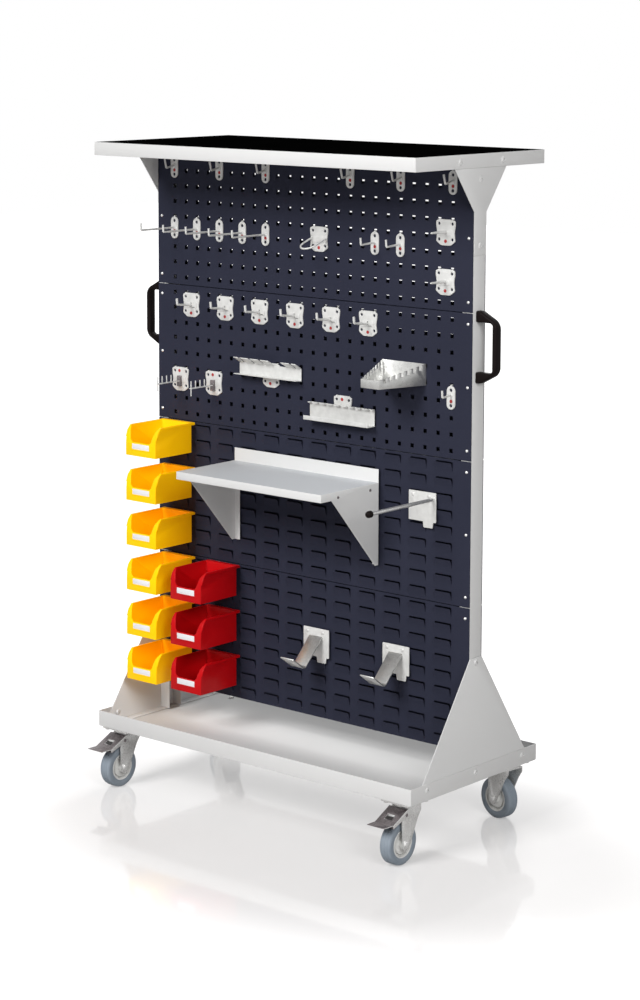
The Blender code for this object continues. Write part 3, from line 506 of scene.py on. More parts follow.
def louvred_sheet():
    """A panel with its front face at y = 0 and its middle at the origin, built up from one louvre's tile."""
    sheet = bmesh.new()
    tile = louvre_tile(sheet)
    for column in range(LOUVRES):
        for row in range(ROWS):
            copy = bmesh.ops.duplicate(sheet, geom=tile)["geom"]
            shift = ((2 * column - LOUVRES + 1) * PITCH, 0, (row - (ROWS - 1) / 2) * PITCH)
            bmesh.ops.translate(sheet, vec=shift, verts=verts_of(copy))
    bmesh.ops.delete(sheet, geom=verts_of(tile), context="VERTS")
    bmesh.ops.remove_doubles(sheet, verts=sheet.verts, dist=NEAR)
    tiled = LOUVRES * PITCH
    for way in (-1, 1):
        rim = [vert for vert in sheet.verts if way * vert.co.z > PANEL_H / 2]
        bmesh.ops.translate(sheet, vec=(0, 0, way * (PANEL_H - ROWS * PITCH) / 2), verts=rim)
        outer = [edge for edge in sheet.edges
                 if all(abs(vert.co.x - way * tiled) < NEAR for vert in edge.verts)]
        wide = bmesh.ops.extrude_edge_only(sheet, edges=outer)["geom"]
        bmesh.ops.translate(sheet, vec=(way * (PANEL_HALF - tiled), 0, 0), verts=verts_of(wide))
    bmesh.ops.remove_doubles(sheet, verts=sheet.verts, dist=NEAR)
    rims = [edge for edge in sheet.edges if all(abs(abs(vert.co.z) - PANEL_H / 2) < NEAR
                                                and abs(vert.co.x) < tiled + NEAR for vert in edge.verts)]
    back = bmesh.ops.extrude_edge_only(sheet, edges=rims)["geom"]
    bmesh.ops.translate(sheet, vec=(0, FOLD_BACK, 0), verts=verts_of(back))
    bmesh.ops.recalc_face_normals(sheet, faces=sheet.faces)
    if sum(face.normal.y * face.calc_area() for face in sheet.faces) > 0:
        bmesh.ops.reverse_faces(sheet, faces=sheet.faces)
    bmesh.ops.solidify(sheet, geom=list(sheet.faces), thickness=PANEL_T)
    return sheet


for number in (3, 4):
    low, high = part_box(f"panel_front_{number}")
    in_front = Matrix.Translation((0, panel_low.y, (low.z + high.z) / 2))
    for word, place in (("front", in_front), ("rear", to_rear @ in_front)):
        sheet = louvred_sheet()
        if word == "rear":
            inner = [vert for vert in sheet.verts if abs(vert.co.x) < PANEL_HALF - SHEET]
            bmesh.ops.translate(sheet, vec=(-LOUVRE_SHIFT, 0, 0), verts=inner)
            raised = [vert for vert in inner if abs(vert.co.z) < PANEL_H / 2 - SHEET]
            bmesh.ops.translate(sheet, vec=(0, 0, LOUVRE_RISE), verts=raised)
        sheet.transform(place)
        piece(f"louvred_{word}_{number}", "trolley", PANEL_SLOT, PANEL_COAT, sheet, f"panel_{word}_{number}")


# Panel screws: small bright screws with domed heads, three down each side of each panel,
# that hold the panels on the posts' flanges.

SCREW = ((0, 0.0026), (0.0019, 0.0023), (0.0032, 0.0013), (0.0038, 0), (0, 0))
SCREW_IN, SCREWS_DOWN = 0.0125, (0.025, 0.171, 0.317)
screws = []
for number in (1, 2, 3, 4):
    panel_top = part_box(f"panel_front_{number}")[1].z
    for side in (-1, 1):
        for down in SCREWS_DOWN:
            at = Vector((side * (PANEL_HALF - SCREW_IN), panel_low.y, panel_top - down))
            screws.append(turned(SCREW, at, FORWARD, steps=14))
            screws.append(turned(SCREW, to_rear @ at, (0, 1, 0), steps=14))
piece("panel_screws", "trolley", ZINC_SLOT, BRIGHT_ZINC, together(screws))


# Handles: black plastic bows moulded in one piece, screwed to the outer face of each post at a
# height to push from, with thick feet and a flat rounded bar.

def thickened(form, way):
    """A flat form drawn out along a vector into a closed solid."""
    raised = bmesh.ops.extrude_face_region(form, geom=list(form.faces), use_keep_orig=True)["geom"]
    bmesh.ops.translate(form, vec=way, verts=verts_of(raised))
    bmesh.ops.recalc_face_normals(form, faces=form.faces)
    return form


HANDLE_SLOT = "black_plastic"
HANDLE_PLASTIC = finish(HANDLE_SLOT, ((0.006, 0.004, 0.004), (0.010, 0.007, 0.007)), gloss=(0.36, 0.50),
                        grain=1800, cloud=20, relief=0.00003, specular=0.05)
BAR, FOOT_H, FOOT_OUT, FOOT_DROP, BOW_DROP, INNER_CUT = 0.0125, 0.026, 0.012, 0.001, 0.025, 0.005
BOW_ROUND, INNER_ROUND, GRIP_ROUND = 0.014, 0.003, 0.0045
for side, word in ((-1, "left"), (1, "right")):
    low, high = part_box("handle_" + word)
    tall, deep, out = (high.z - low.z) / 2, high.y - low.y, high.x - low.x
    root_x = low.x if side > 0 else high.x
    foot_low = tall - FOOT_H
    outer = [(0, tall), (FOOT_OUT, tall - FOOT_DROP), (out, tall - BOW_DROP)]
    inner = [(out - BAR, foot_low - INNER_CUT), (out - BAR - INNER_CUT, foot_low), (0, foot_low)]
    outline = outer + [(x, -z) for x, z in reversed(outer)]
    outline += [(x, -z) for x, z in reversed(inner)] + inner
    bow = bmesh.new()
    bow.faces.new([bow.verts.new((root_x + side * x, low.y, (low.z + high.z) / 2 + z)) for x, z in outline])
    for reach, radius in ((out - BAR / 2, BOW_ROUND), (out - 2 * BAR, INNER_ROUND)):
        turns = [vert for vert in bow.verts if reach < abs(vert.co.x - root_x) < reach + BAR]
        eased(bow, turns, radius, segments=5, affect="VERTICES")
    thickened(bow, (0, deep, 0))
    rims = [edge for edge in bow.edges if abs(edge.verts[0].co.y - edge.verts[1].co.y) < NEAR
            and any(abs(vert.co.x - root_x) > NEAR for vert in edge.verts)]
    eased(bow, rims, GRIP_ROUND, segments=4)
    piece("bow_" + word, "trolley", HANDLE_SLOT, HANDLE_PLASTIC, bow, "handle_" + word)


# Bins: open-fronted boxes injection moulded in plastic, with a flanged rim, a leaning front round
# the mouth, a lip behind that hangs on one louvre and a plain white card on the front. The yellow
# walls let light through; a faint warm painted glow stands for it and lightens their shaded sides.

BIN_SHADES = {"yellow": ((0.95, 0.575, 0.002), (0.98, 0.61, 0.002)),
              "red": ((0.48, 0.002, 0.004), (0.55, 0.003, 0.006))}
BIN_PLASTIC = {word: finish(word + "_plastic", shades, gloss=(0.28, 0.40), grain=1600, cloud=12,
                            relief=0.00002, specular=0.13) for word, shades in BIN_SHADES.items()}
# Painted glow: the yellow plastic gives off a faint warm light of its own, which lightens its shaded sides.
GLOW, GLOW_STRENGTH = (1.0, 0.33, 0.0, 1.0), 0.20
yellow_painted_glow = BIN_PLASTIC["yellow"].node_tree.nodes["Principled BSDF"]
yellow_painted_glow.inputs["Emission Color"].default_value = GLOW
yellow_painted_glow.inputs["Emission Strength"].default_value = GLOW_STRENGTH
CARD = finish("blank_card", ((0.74, 0.74, 0.76), (0.78, 0.78, 0.80)), gloss=(0.5, 0.7),
              grain=2500, cloud=40, relief=0.00001)
CARD_HALF, CARD_LOW, CARD_HIGH, CARD_T, CARD_SUNK, CARD_EDGE = 0.029, 0.017, 0.031, 0.0006, 0.0001, 0.0002
LEDGE_W, LEDGE_T, LEDGE_SUNK, LEDGE_EDGE = 0.0022, 0.0014, 0.0004, 0.0004
FOOT_IN, FOOT_BACK, FOOT_T, FOOT_SUNK, FOOT_EDGE = 0.010, 0.024, 0.002, 0.0003, 0.0008
BIN_EDGE = 0.0007
for colour, count in (("yellow", 6), ("red", 3)):
    for name in [f"bin_{colour}_{number + 1}" for number in range(count)]:
        low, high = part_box(name)
        at = Vector(((low.x + high.x) / 2, low.y, low.z))
        ledge = soft_box(at + Vector((-CARD_HALF - LEDGE_W, -LEDGE_T, CARD_LOW - LEDGE_W)),
                         at + Vector((CARD_HALF + LEDGE_W, LEDGE_SUNK, CARD_LOW)), LEDGE_EDGE)
        foot = soft_box((low.x + FOOT_IN, low.y + FOOT_IN, low.z - FOOT_T),
                        (high.x - FOOT_IN, high.y - FOOT_BACK, low.z + FOOT_SUNK), FOOT_EDGE)
        moulding = together([worked(name, BIN_EDGE), ledge, foot])
        piece(name + "_moulding", name, colour + "_plastic", BIN_PLASTIC[colour], moulding, name)
        card = soft_box(at + Vector((-CARD_HALF, -CARD_T, CARD_LOW)),
                        at + Vector((CARD_HALF, CARD_SUNK, CARD_HIGH)), CARD_EDGE)
        piece(name + "_card", name, colour + "_plastic", CARD, card)


# Shelf: a sheet folded up behind and down in front, coated like the frame. Its top is darker and
# bluer: painted shade, with a painted bluish reflection of the dark panel behind. Two small dark bolts
# hold it on each of two triangular brackets that hook into the louvres.

# Painted shade and reflection for the shelf's top: the frame's grey made darker and bluer.
SHELF_TOP_PAINTED_SHADE = finish("shelf_top_painted_shade", ((0.505, 0.52, 0.54), (0.535, 0.55, 0.57)), gloss=(0.42, 0.54),
                    grain=1500, cloud=3, relief=0.00002, specular=0.18)
SHELF_EDGE, LEVEL_FROM = 0.0006, 0.95
folded = worked("shelf", SHELF_EDGE)
# The level top faces take the painted shade.
for face in folded.faces:
    face.material_index = 1 if face.normal.z > LEVEL_FROM else 0
made = piece("folded_shelf", "trolley", GREY_SLOT, GREY_COAT, folded, "shelf")
made.data.materials.append(SHELF_TOP_PAINTED_SHADE)
SHELF_UP, SHELF_BOLTS, SHELF_BOLT_DOWN = 0.198, (0.061, 0.178), 0.014
low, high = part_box("shelf")
bolts = []
for side, x in ((-1, low.x), (1, high.x)):
    for back in SHELF_BOLTS:
        at = (x, low.y + back, low.z + SHELF_UP - SHELF_BOLT_DOWN)
        bolts.append(socket_bolt(at, (side, 0, 0), radius=0.0036, height=0.0018))
piece("shelf_bolts", "trolley", DARK_SLOT, DARK_STEEL, together(bolts))


# Rod holder: a tabbed zinc plate that hooks over the louvres, with a long straight rod welded
# near its right edge. A black plastic cap closes the rod's end, and two rivets hold the hooks.

RIM_FROM, RIM_EASE = 1.0, 0.25


def softened(corners, reach, steps):
    """An outline with each corner rounded off, starting as far before the corner as it ends after it."""
    spots = []
    for before, corner, after in zip(corners[-1:] + corners[:-1], corners, corners[1:] + corners[:1]):
        here, back, onward = Vector(corner), Vector(before) - Vector(corner), Vector(after) - Vector(corner)
        start = here + back.normalized() * min(reach, back.length / 2)
        stop = here + onward.normalized() * min(reach, onward.length / 2)
        for share in [step / steps for step in range(steps + 1)]:
            spot = start * (1 - share) ** 2 + here * 2 * share * (1 - share) + stop * share ** 2
            spots.append(tuple(spot))
    return spots


def blank(outline, holes, thick):
    """A flat blank parallel to the panels, from y = 0 forward by its thickness, with holes through it."""
    form = bmesh.new()
    for ring in (outline, *holes):
        spots = [form.verts.new((x, 0, z)) for x, z in ring]
        for pair in zip(spots, spots[1:] + spots[:1]):
            form.edges.new(pair)
    bmesh.ops.remove_doubles(form, verts=form.verts, dist=WELD)
    bmesh.ops.triangle_fill(form, use_beauty=True, edges=form.edges, normal=FORWARD)
    thickened(form, (0, -thick, 0))
    rims = [edge for edge in sharp_edges(form, RIM_FROM)
            if all(vert.co.y < -thick / 2 for vert in edge.verts)]
    return eased(form, rims, RIM_EASE * thick)


def wire(corners, radius, bend):
    """A round wire through corner points, bent smoothly round each of them."""
    corners = [Vector(corner) for corner in corners]
    spots = corners[:1]
    for before, corner, after in zip(corners, corners[1:], corners[2:]):
        spots.append(corner + bend * (before - corner).normalized())
        spots.append(corner)
        spots.append(corner + bend * (after - corner).normalized())
    spots.append(corners[-1])
    line = bpy.data.curves.new("wire", "CURVE")
    line.dimensions = "3D"
    line.bevel_depth = radius
    line.bevel_resolution = 3
    line.use_fill_caps = True
    run = line.splines.new("NURBS")
    run.points.add(len(spots) - 1)
    for point, spot in zip(run.points, spots):
        point.co = (*spot, 1)
    run.order_u = 3
    run.use_endpoint_u = True
    run.resolution_u = 5
    holder = bpy.data.objects.new("wire", line)
    mesh = bpy.data.meshes.new_from_object(holder)
    form = bmesh.new()
    form.from_mesh(mesh)
    bpy.data.meshes.remove(mesh)
    bpy.data.objects.remove(holder)
    bpy.data.curves.remove(line)
    return closed(form)


def plate_middle(node, below_top):
    """Place of the middle of a node's plate, on its back and so far below its top."""
    low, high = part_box(node)
    return Vector(((low.x + high.x) / 2, high.y, high.z - below_top))


def hung(name, at, coat, forms, *stands_for):
    """A zinc piece of forms made round the middle of a plate's back, moved to the plate's place."""
    form = together(forms)
    form.transform(Matrix.Translation(at))
    piece(name, "trolley", ZINC_SLOT, coat, form, *stands_for)


ZINC = finish(ZINC_SLOT, ((0.59, 0.59, 0.575), (0.69, 0.69, 0.675)), gloss=(0.28, 0.42),
              grain=700, cloud=60, relief=0.00001, metallic=0.12, specular=0.35)
TAB_PLATE_X, TAB_PLATE_Z, HOLDER_T, HOLDER_ROUND = 0.040, 0.035, 0.002, 0.002
TAB_FROM, TAB_TO, TAB_LOW, TAB_TAPER = 0.004, 0.030, -0.049, 0.002
TABBED = [(-TAB_PLATE_X, TAB_PLATE_Z), (-TAB_PLATE_X, -TAB_PLATE_Z), (TAB_FROM - TAB_TAPER, -TAB_PLATE_Z),
          (TAB_FROM, TAB_LOW), (TAB_TO, TAB_LOW), (TAB_TO + TAB_TAPER, -TAB_PLATE_Z),
          (TAB_PLATE_X, -TAB_PLATE_Z), (TAB_PLATE_X, TAB_PLATE_Z)]
RIVET = ((0, 0.0022), (0.0026, 0.0019), (0.0044, 0.0009), (0.0048, 0), (0, 0))
RIVET_SPOTS = ((-0.027, 0.026), (0.020, 0.026))


def tabbed_plate():
    """The plate that the holders on the louvres share, with its two rivets."""
    rivets = [turned(RIVET, (x, -HOLDER_T, z), FORWARD, steps=16) for x, z in RIVET_SPOTS]
    return [blank(softened(TABBED, HOLDER_ROUND, steps=3), (), HOLDER_T), *rivets]


ROD_X, ROD_Z, ROD_R, ROD_MIDDLE, ROD_END, ROD_BEND, CAP_OVER = 0.032, 0.020, 0.0045, 0.1, 0.232, 0.01, 0.003
CAP = ((0, 0.0150), (0.0046, 0.0144), (0.0070, 0.0122), (0.0080, 0.0090), (0.0080, 0.0012), (0.0073, 0),
       (0, 0))
at = plate_middle("rod_holder", TAB_PLATE_Z)
hung("rod_holder_zinc", at, ZINC, tabbed_plate(), "rod_holder")
rod = wire([(ROD_X, -out, ROD_Z) for out in (HOLDER_T / 2, ROD_MIDDLE, ROD_END)], ROD_R, ROD_BEND)
hung("rod", at, BRIGHT_ZINC, [rod])
cap = turned(CAP, at + Vector((ROD_X, CAP_OVER - ROD_END, ROD_Z)), FORWARD, steps=24)
piece("rod_cap", "trolley", HANDLE_SLOT, HANDLE_PLASTIC, cap)


# V holders: the same tabbed plate, with a strip of thicker brushed sheet bent into a V in front
# of it and a small web under the strip's root that stiffens it.

BRUSHED_ZINC = finish("brushed_zinc", ((0.50, 0.50, 0.49), (0.62, 0.62, 0.605)), gloss=(0.26, 0.40),
                      grain=700, cloud=60, relief=0.00001, metallic=0.85)
ARM_HALF, ARM_T, ARM_BEND, ARM_STEPS, ARM_EDGE, WEB_T = 0.020, 0.003, 0.010, 5, 0.0005, 0.002
ARM = [(-HOLDER_T / 2, 0.0145), (-0.0658, -0.0525), (-0.1102, -0.0207)]
WEB = [(-HOLDER_T / 2, 0.012), (-0.040, -0.027), (-0.020, -0.024), (-HOLDER_T / 2, -0.016)]


def bent_arm():
    """A strip across X that follows the arm's (y, z) points with a round bend, thickened below them."""
    bend = softened(ARM, ARM_BEND, ARM_STEPS)[ARM_STEPS + 1:-ARM_STEPS - 1]
    form = bmesh.new()
    line = form.edges.new([form.verts.new((x, *ARM[0])) for x in (-ARM_HALF, ARM_HALF)])
    for spot, onward in zip([ARM[0], *bend], [*bend, ARM[-1]]):
        line = drawn_out(form, line, (0, onward[0] - spot[0], onward[1] - spot[1]))
    walled(form, ARM_T)
    return eased(form, sharp_edges(form, RIM_FROM), ARM_EDGE)


for number in (1, 2):
    node = f"v_holder_{number}"
    at = plate_middle(node, TAB_PLATE_Z)
    web = bmesh.new()
    web.faces.new([web.verts.new((-WEB_T / 2, y, z)) for y, z in WEB])
    bmesh.ops.solidify(web, geom=list(web.faces), thickness=WEB_T)
    hung(node + "_arm", at, BRUSHED_ZINC, [bent_arm(), web])
    hung(node + "_zinc", at, ZINC, tabbed_plate(), node)


# Narrow hooks: zinc plated strips with round ends and two holes, hooked into one column of the
# grid by a lug at the top, with a bent wire welded to the middle. A small painted dot marks each.

HOOK_T, HOOK_WIRE, HOOK_BEND, HOLE_POINTS = 0.0025, 0.0025, 0.006, 16
HOOK_BACK = -HOOK_T / 2
NARROW_R, NARROW_REACH = 0.012, 0.0155
NARROW_TOP = NARROW_R + NARROW_REACH
NARROW = [*arc(0, NARROW_REACH, NARROW_R, 0, 180, steps=10),
          *arc(0, -NARROW_REACH, NARROW_R, 180, 360, steps=10)]
NARROW_HOLES, NARROW_HOLE_R, NARROW_LUG, NARROW_DOT = (0.0175, -0.0185), 0.0040, 0.022, (0.001, -0.0080)
LUG_TOP, LUG_IN, LUG_R = 0.0285, 0.008, 0.002
SEAT = ((0, 0.0016), (0.0042, 0.0013), (0.0052, 0), (0, 0))
DOT = ((0, 0.0003), (0.0036, 0.0003), (0.0041, 0.0001), (0.0041, 0), (0, 0))
dots = []


def hole(x, z, radius):
    """A round hole in a blank."""
    return arc(x, z, radius, 0, 360 * (HOLE_POINTS - 1) / HOLE_POINTS, HOLE_POINTS - 1)


def lug(x, start):
    """A round lug that rises from a height in a plate and hooks back into a hole of the grid."""
    return wire([(x, HOOK_BACK, start), (x, HOOK_BACK, LUG_TOP), (x, LUG_IN, LUG_TOP)], LUG_R, LUG_R)


def dotted(at, x, z):
    """Adds a painted dot to a plate that stands at a place."""
    dots.append(turned(DOT, at + Vector((x, -HOOK_T, z)), FORWARD, steps=16))


def narrow_hook(name, at, run, *stands_for):
    """A narrow plate with its lug and dot, and a wire along a run of points that starts in the plate."""
    plate = blank(NARROW, [hole(0, z, NARROW_HOLE_R) for z in NARROW_HOLES], HOOK_T)
    seat = turned(SEAT, (0, -HOOK_T, run[0][2]), FORWARD, steps=16)
    hung(name, at, ZINC, [plate, seat, lug(0, NARROW_LUG), wire(run, HOOK_WIRE, HOOK_BEND)], *stands_for)
    dotted(at, *NARROW_DOT)


NARROW_RUNS = {f"long_hook_{number}": [(0, HOOK_BACK, 0), (0, -0.1205, 0.0005), (0, -0.1215, 0.018)]
               for number in range(1, 6)}
NARROW_RUNS["short_hook"] = [(0, HOOK_BACK, 0.007), (0, -0.0335, 0.0035), (0, -0.035, 0.020)]
for node, run in NARROW_RUNS.items():
    narrow_hook(node + "_zinc", plate_middle(node, NARROW_TOP), run, node)


# More narrow hooks of the same make and fixing, with shorter wires: a row of six under the table
# top, and a pair to the right of the loop.

grid_start = plate_middle("long_hook_1", NARROW_TOP)
HUNG_BELOW = 0.0465
ROW_RUN = [(0, HOOK_BACK, 0.004), (0, -0.030, -0.002), (0, -0.036, 0.020)]
PAIR_RUN = [(0, HOOK_BACK, 0.002), (0, -0.052, -0.001), (0, -0.054, 0.016)]
MORE_HOOKS = (("row_hook", (0, 4, 8, 15, 19, 23), 0, ROW_RUN), ("pair_hook", (17, 19), 4, PAIR_RUN))


def hook_spot(column, row):
    """Place of a hook plate on the grid, hung a little below the middle between two rows."""
    height = panel_high.z - HUNG_BELOW - row * PITCH
    return Vector((grid_start.x + column * PITCH, grid_start.y, height))


for word, columns, row, run in MORE_HOOKS:
    for place, column in enumerate(columns):
        narrow_hook(f"{word}_{place + 1}", hook_spot(column, row), run)


# Wide hooks: pressed plates with a slight waist, a raised middle and four holes, hooked into two
# columns of the grid. Six carry a stout bent wire beside a small flap, and one a round loop.

WIDE = [(0.0245, 0.0), (0.0275, 0.0152), (0.0275, 0.0265), (0.0138, 0.0295), (-0.0138, 0.0295),
        (-0.0275, 0.0265), (-0.0275, 0.0152), (-0.0245, 0.0), (-0.0264, -0.0152), (-0.0275, -0.0205),
        (-0.0138, -0.0305), (0.0138, -0.0305), (0.0275, -0.0205), (0.0264, -0.0152)]
WIDE_TOP, WIDE_LOW, WIDE_ROUND, WIDE_LUG, LUG_X = 0.0295, 0.0305, 0.004, 0.024, 0.019
RAISED = [(-0.0175, 0.0070), (-0.0175, -0.0080), (0.0175, -0.0080), (0.0175, 0.0070)]
RAISED_T, RAISED_ROUND = 0.0012, 0.003
WIDE_HOLES = ((-0.0190, 0.0195), (0.0190, 0.0195), (-0.0190, -0.0165), (0.0190, -0.0165))
WIDE_HOLE_R, WIDE_DOT = 0.0036, (0, -0.0210)


def wide_plate(*slots):
    """A wide plate with its holes, a raised middle, two lugs at the top and any slots through the middle."""
    holes = [hole(x, z, WIDE_HOLE_R) for x, z in WIDE_HOLES]
    plate = blank(softened(WIDE, WIDE_ROUND, steps=3), [*holes, *slots], HOOK_T)
    rise = blank(softened(RAISED, RAISED_ROUND, steps=3), slots, RAISED_T)
    rise.transform(Matrix.Translation((0, -HOOK_T, 0)))
    return [plate, rise, *(lug(x, WIDE_LUG) for x in (-LUG_X, LUG_X))]


FLAP_LOW, FLAP_HIGH, FLAP_EDGE = (-0.0030, -0.0060 - HOOK_T, -0.0050), (0.0008, HOOK_BACK, 0.0060), 0.0006
FLAP_SLOT = [(0.0024, 0.0055), (0.0024, -0.0052), (0.0125, -0.0052), (0.0125, -0.0068), (0.0008, -0.0068),
             (0.0008, 0.0055)]
WIDE_RUN, WIDE_WIRE = [(0, HOOK_BACK, -0.001), (0, -0.0525, 0.0045), (0, -0.0540, 0.020)], 0.0030
for node in [f"wide_hook_{number}" for number in range(1, 7)]:
    at = plate_middle(node, WIDE_TOP)
    flap = soft_box(FLAP_LOW, FLAP_HIGH, FLAP_EDGE)
    forms = [*wide_plate(FLAP_SLOT), flap, wire(WIDE_RUN, WIDE_WIRE, HOOK_BEND)]
    hung(node + "_zinc", at, ZINC, forms, node)
    dotted(at, *WIDE_DOT)
LOOP_R, LOOP_OUT, LOOP_ROOT, LOOP_Z, LOOP_DIP = 0.022, 0.035, 0.002, -0.010, 0.010
LOOP_STEPS, LOOP_WIRE, LOOP_BEND = 12, 0.0022, 0.002
loop = [(-LOOP_R, HOOK_BACK, LOOP_ROOT)]
for turn in [step * math.pi / LOOP_STEPS for step in range(LOOP_STEPS + 1)]:
    ahead = math.sin(turn)
    loop.append((-LOOP_R * math.cos(turn), -LOOP_OUT - LOOP_R * ahead, LOOP_Z - LOOP_DIP * ahead))
loop.append((LOOP_R, HOOK_BACK, LOOP_ROOT))
at = plate_middle("loop_hook", WIDE_TOP)
hung("loop_hook_zinc", at, ZINC, [*wide_plate(), wire(loop, LOOP_WIRE, LOOP_BEND)], "loop_hook")
dotted(at, *WIDE_DOT)


# Pin plates: two of the wide plates near the right edge of the upper panel, hooked in like the
# others, each with a short tapered steel pin welded on.

PIN = ((0, 0), (0.0040, 0), (0.0036, 0.012), (0.0024, 0.050), (0.0016, 0.054), (0, 0.055))
PIN_COLUMN, PIN_ROWS, PIN_UP, PIN_DOT = 22.5, (3, 6), 0.001, (0, -0.0205)
for place, row in enumerate(PIN_ROWS):
    at = hook_spot(PIN_COLUMN, row)
    pin = turned(PIN, (0, -HOOK_T, PIN_UP), FORWARD, steps=18)
    hung(f"pin_plate_{place + 1}", at, ZINC, [*wide_plate(), pin])
    dotted(at, *PIN_DOT)


# Prong holders: wide plates with a dark upright bracket in the middle that holds a narrow
# carrier, on which a row of thin prongs stands; the last prong goes through it and down.

PRONGS, PRONG_STEP, PRONG_FROM, PRONG_R, PRONG_BEND = 4, 0.016, 0.020, 0.0015, 0.002
PRONG_TOP, PRONG_LOW, PRONG_DOT = 0.013, -0.024, (-0.003, 0.0205)
CARRIER_HALF, CARRIER_Z, CARRIER_T, CARRIER_OVER, CARRIER_EDGE = 0.004, -0.005, 0.002, 0.003, 0.0004
BRACKET_LOW, BRACKET_HIGH = Vector((-0.0060, -0.0095, -0.0190)), Vector((0.0060, HOOK_BACK, 0.0080))
BRACKET_EDGE = 0.001
carrier_out = PRONG_FROM + CARRIER_OVER + PRONGS * PRONG_STEP
for node in ("prong_holder_1", "prong_holder_2"):
    at = plate_middle(node, WIDE_TOP)
    carrier = soft_box((-CARRIER_HALF, -carrier_out, CARRIER_Z - CARRIER_T / 2),
                       (CARRIER_HALF, HOOK_BACK, CARRIER_Z + CARRIER_T / 2), CARRIER_EDGE)
    forms = [*wide_plate(), carrier]
    for prong in range(1, PRONGS + 1):
        y = -PRONG_FROM - PRONG_STEP * prong
        foot = CARRIER_Z if prong < PRONGS else PRONG_LOW
        forms.append(wire([(0, y, foot), (0, y, 0), (0, y, PRONG_TOP)], PRONG_R, PRONG_BEND))
    hung(node + "_zinc", at, ZINC, forms, node)
    bracket = soft_box(at + BRACKET_LOW, at + BRACKET_HIGH, BRACKET_EDGE)
    piece(node + "_bracket", "trolley", DARK_SLOT, DARK_STEEL, bracket)
    dotted(at, *PRONG_DOT)


# Tool rails: folded strips on a wide plate. The upper one has comb teeth along its rising lip,
# with a gap beside the plate, the lower one has slots in its upper lip and a fence in front.

SLOT_W, RAIL_T, RAIL_EDGE = 0.007, 0.002, 0.0004


def comb_rail(length, path, slotted, teeth, gap):
    """A strip across X along a path of (y, z) points, without the cells of the slots and of a gap."""
    form = bmesh.new()
    xs = [-length / 2]
    for tooth in range(teeth):
        middle = length * ((tooth + 0.5) / teeth - 0.5)
        xs += [middle - SLOT_W / 2, middle + SLOT_W / 2]
    xs.append(length / 2)
    row = [form.verts.new((x, *path[0])) for x in xs]
    lines = [form.edges.new(pair) for pair in zip(row, row[1:])]
    open_cells = []
    for number, (spot, onward) in enumerate(zip(path, path[1:])):
        new = bmesh.ops.extrude_edge_only(form, edges=lines)["geom"]
        bmesh.ops.translate(form, vec=(0, onward[0] - spot[0], onward[1] - spot[1]), verts=verts_of(new))
        lines = [item for item in new if isinstance(item, bmesh.types.BMEdge)]
        cells = sorted((item for item in new if isinstance(item, bmesh.types.BMFace)),
                       key=lambda face: face.calc_center_median().x)
        if number in slotted:
            open_cells += [cell for place, cell in enumerate(cells)
                           if place % 2 or gap[0] < cell.calc_center_median().x < gap[1]]
    bmesh.ops.delete(form, geom=open_cells, context="FACES")
    walled(form, RAIL_T)
    return eased(form, sharp_edges(form, RIM_FROM), RAIL_EDGE)


web_y = HOOK_BACK - RAIL_T
FLANGE, UPPER_LOW, UPPER_HIGH, SILL_RISE, COMB_RISE, COMB_TIP = 0.028, -0.0065, 0.0245, 0.003, 0.007, 0.0145
UPPER_PATH = [(-FLANGE, UPPER_LOW + SILL_RISE), (-FLANGE / 2, UPPER_LOW + SILL_RISE / 2), (web_y, UPPER_LOW),
              (web_y, UPPER_HIGH), (-FLANGE / 2, UPPER_HIGH + COMB_RISE), (-FLANGE, UPPER_HIGH + COMB_TIP)]
FENCE_OUT, FENCE_H, LOWER_LOW, LOWER_HIGH, LIP_FROM, LIP_OUT = 0.030, 0.010, -0.0345, 0.0065, 0.006, 0.014
LOWER_PATH = [(-FENCE_OUT, LOWER_LOW + FENCE_H), (-FENCE_OUT, LOWER_LOW), (web_y, LOWER_LOW),
              (web_y, LOWER_HIGH), (-LIP_FROM, LOWER_HIGH), (-LIP_OUT, LOWER_HIGH)]
UPPER_GAP, NO_GAP, UPPER_DOT, LOWER_DOT = (0.010, 0.056), (0, 0), (-0.002, -0.0210), (-0.002, 0.0205)
low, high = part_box("tool_rail_1")
upper_below = high.z - low.z - WIDE_LOW
RAILS = (("tool_rail_1", upper_below, UPPER_PATH, (3, 4), 6, UPPER_GAP, UPPER_DOT),
         ("tool_rail_2", WIDE_TOP, LOWER_PATH, (4,), 9, NO_GAP, LOWER_DOT))
for node, below_top, path, slotted, teeth, gap, dot in RAILS:
    low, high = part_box(node)
    at = plate_middle(node, below_top)
    rail = comb_rail(high.x - low.x, path, slotted, teeth, gap)
    hung(node + "_zinc", at, ZINC, [*wide_plate(), rail], node)
    dotted(at, *dot)


# Spanner rack: a fan-shaped tray bent from zinc plated sheet, high at the back and low in front,
# with notches across both side walls for spanners to lie in.

RACK_EDGE = 0.0004
rack = worked("spanner_rack", RACK_EDGE)
piece("spanner_rack_zinc", "trolley", ZINC_SLOT, BRUSHED_ZINC, rack, "spanner_rack")


# Painted dots: plain red spots of thin paint, one on the plate of each hook, holder and rail of
# the perforated panels.

DOT_PAINT = finish("red_paint", ((0.36, 0.03, 0.03), (0.42, 0.05, 0.05)), gloss=(0.5, 0.6),
                   grain=1500, cloud=200, relief=0.00001, specular=0.2)
piece("marker_dots", "trolley", "red_plastic", DOT_PAINT, together(dots))
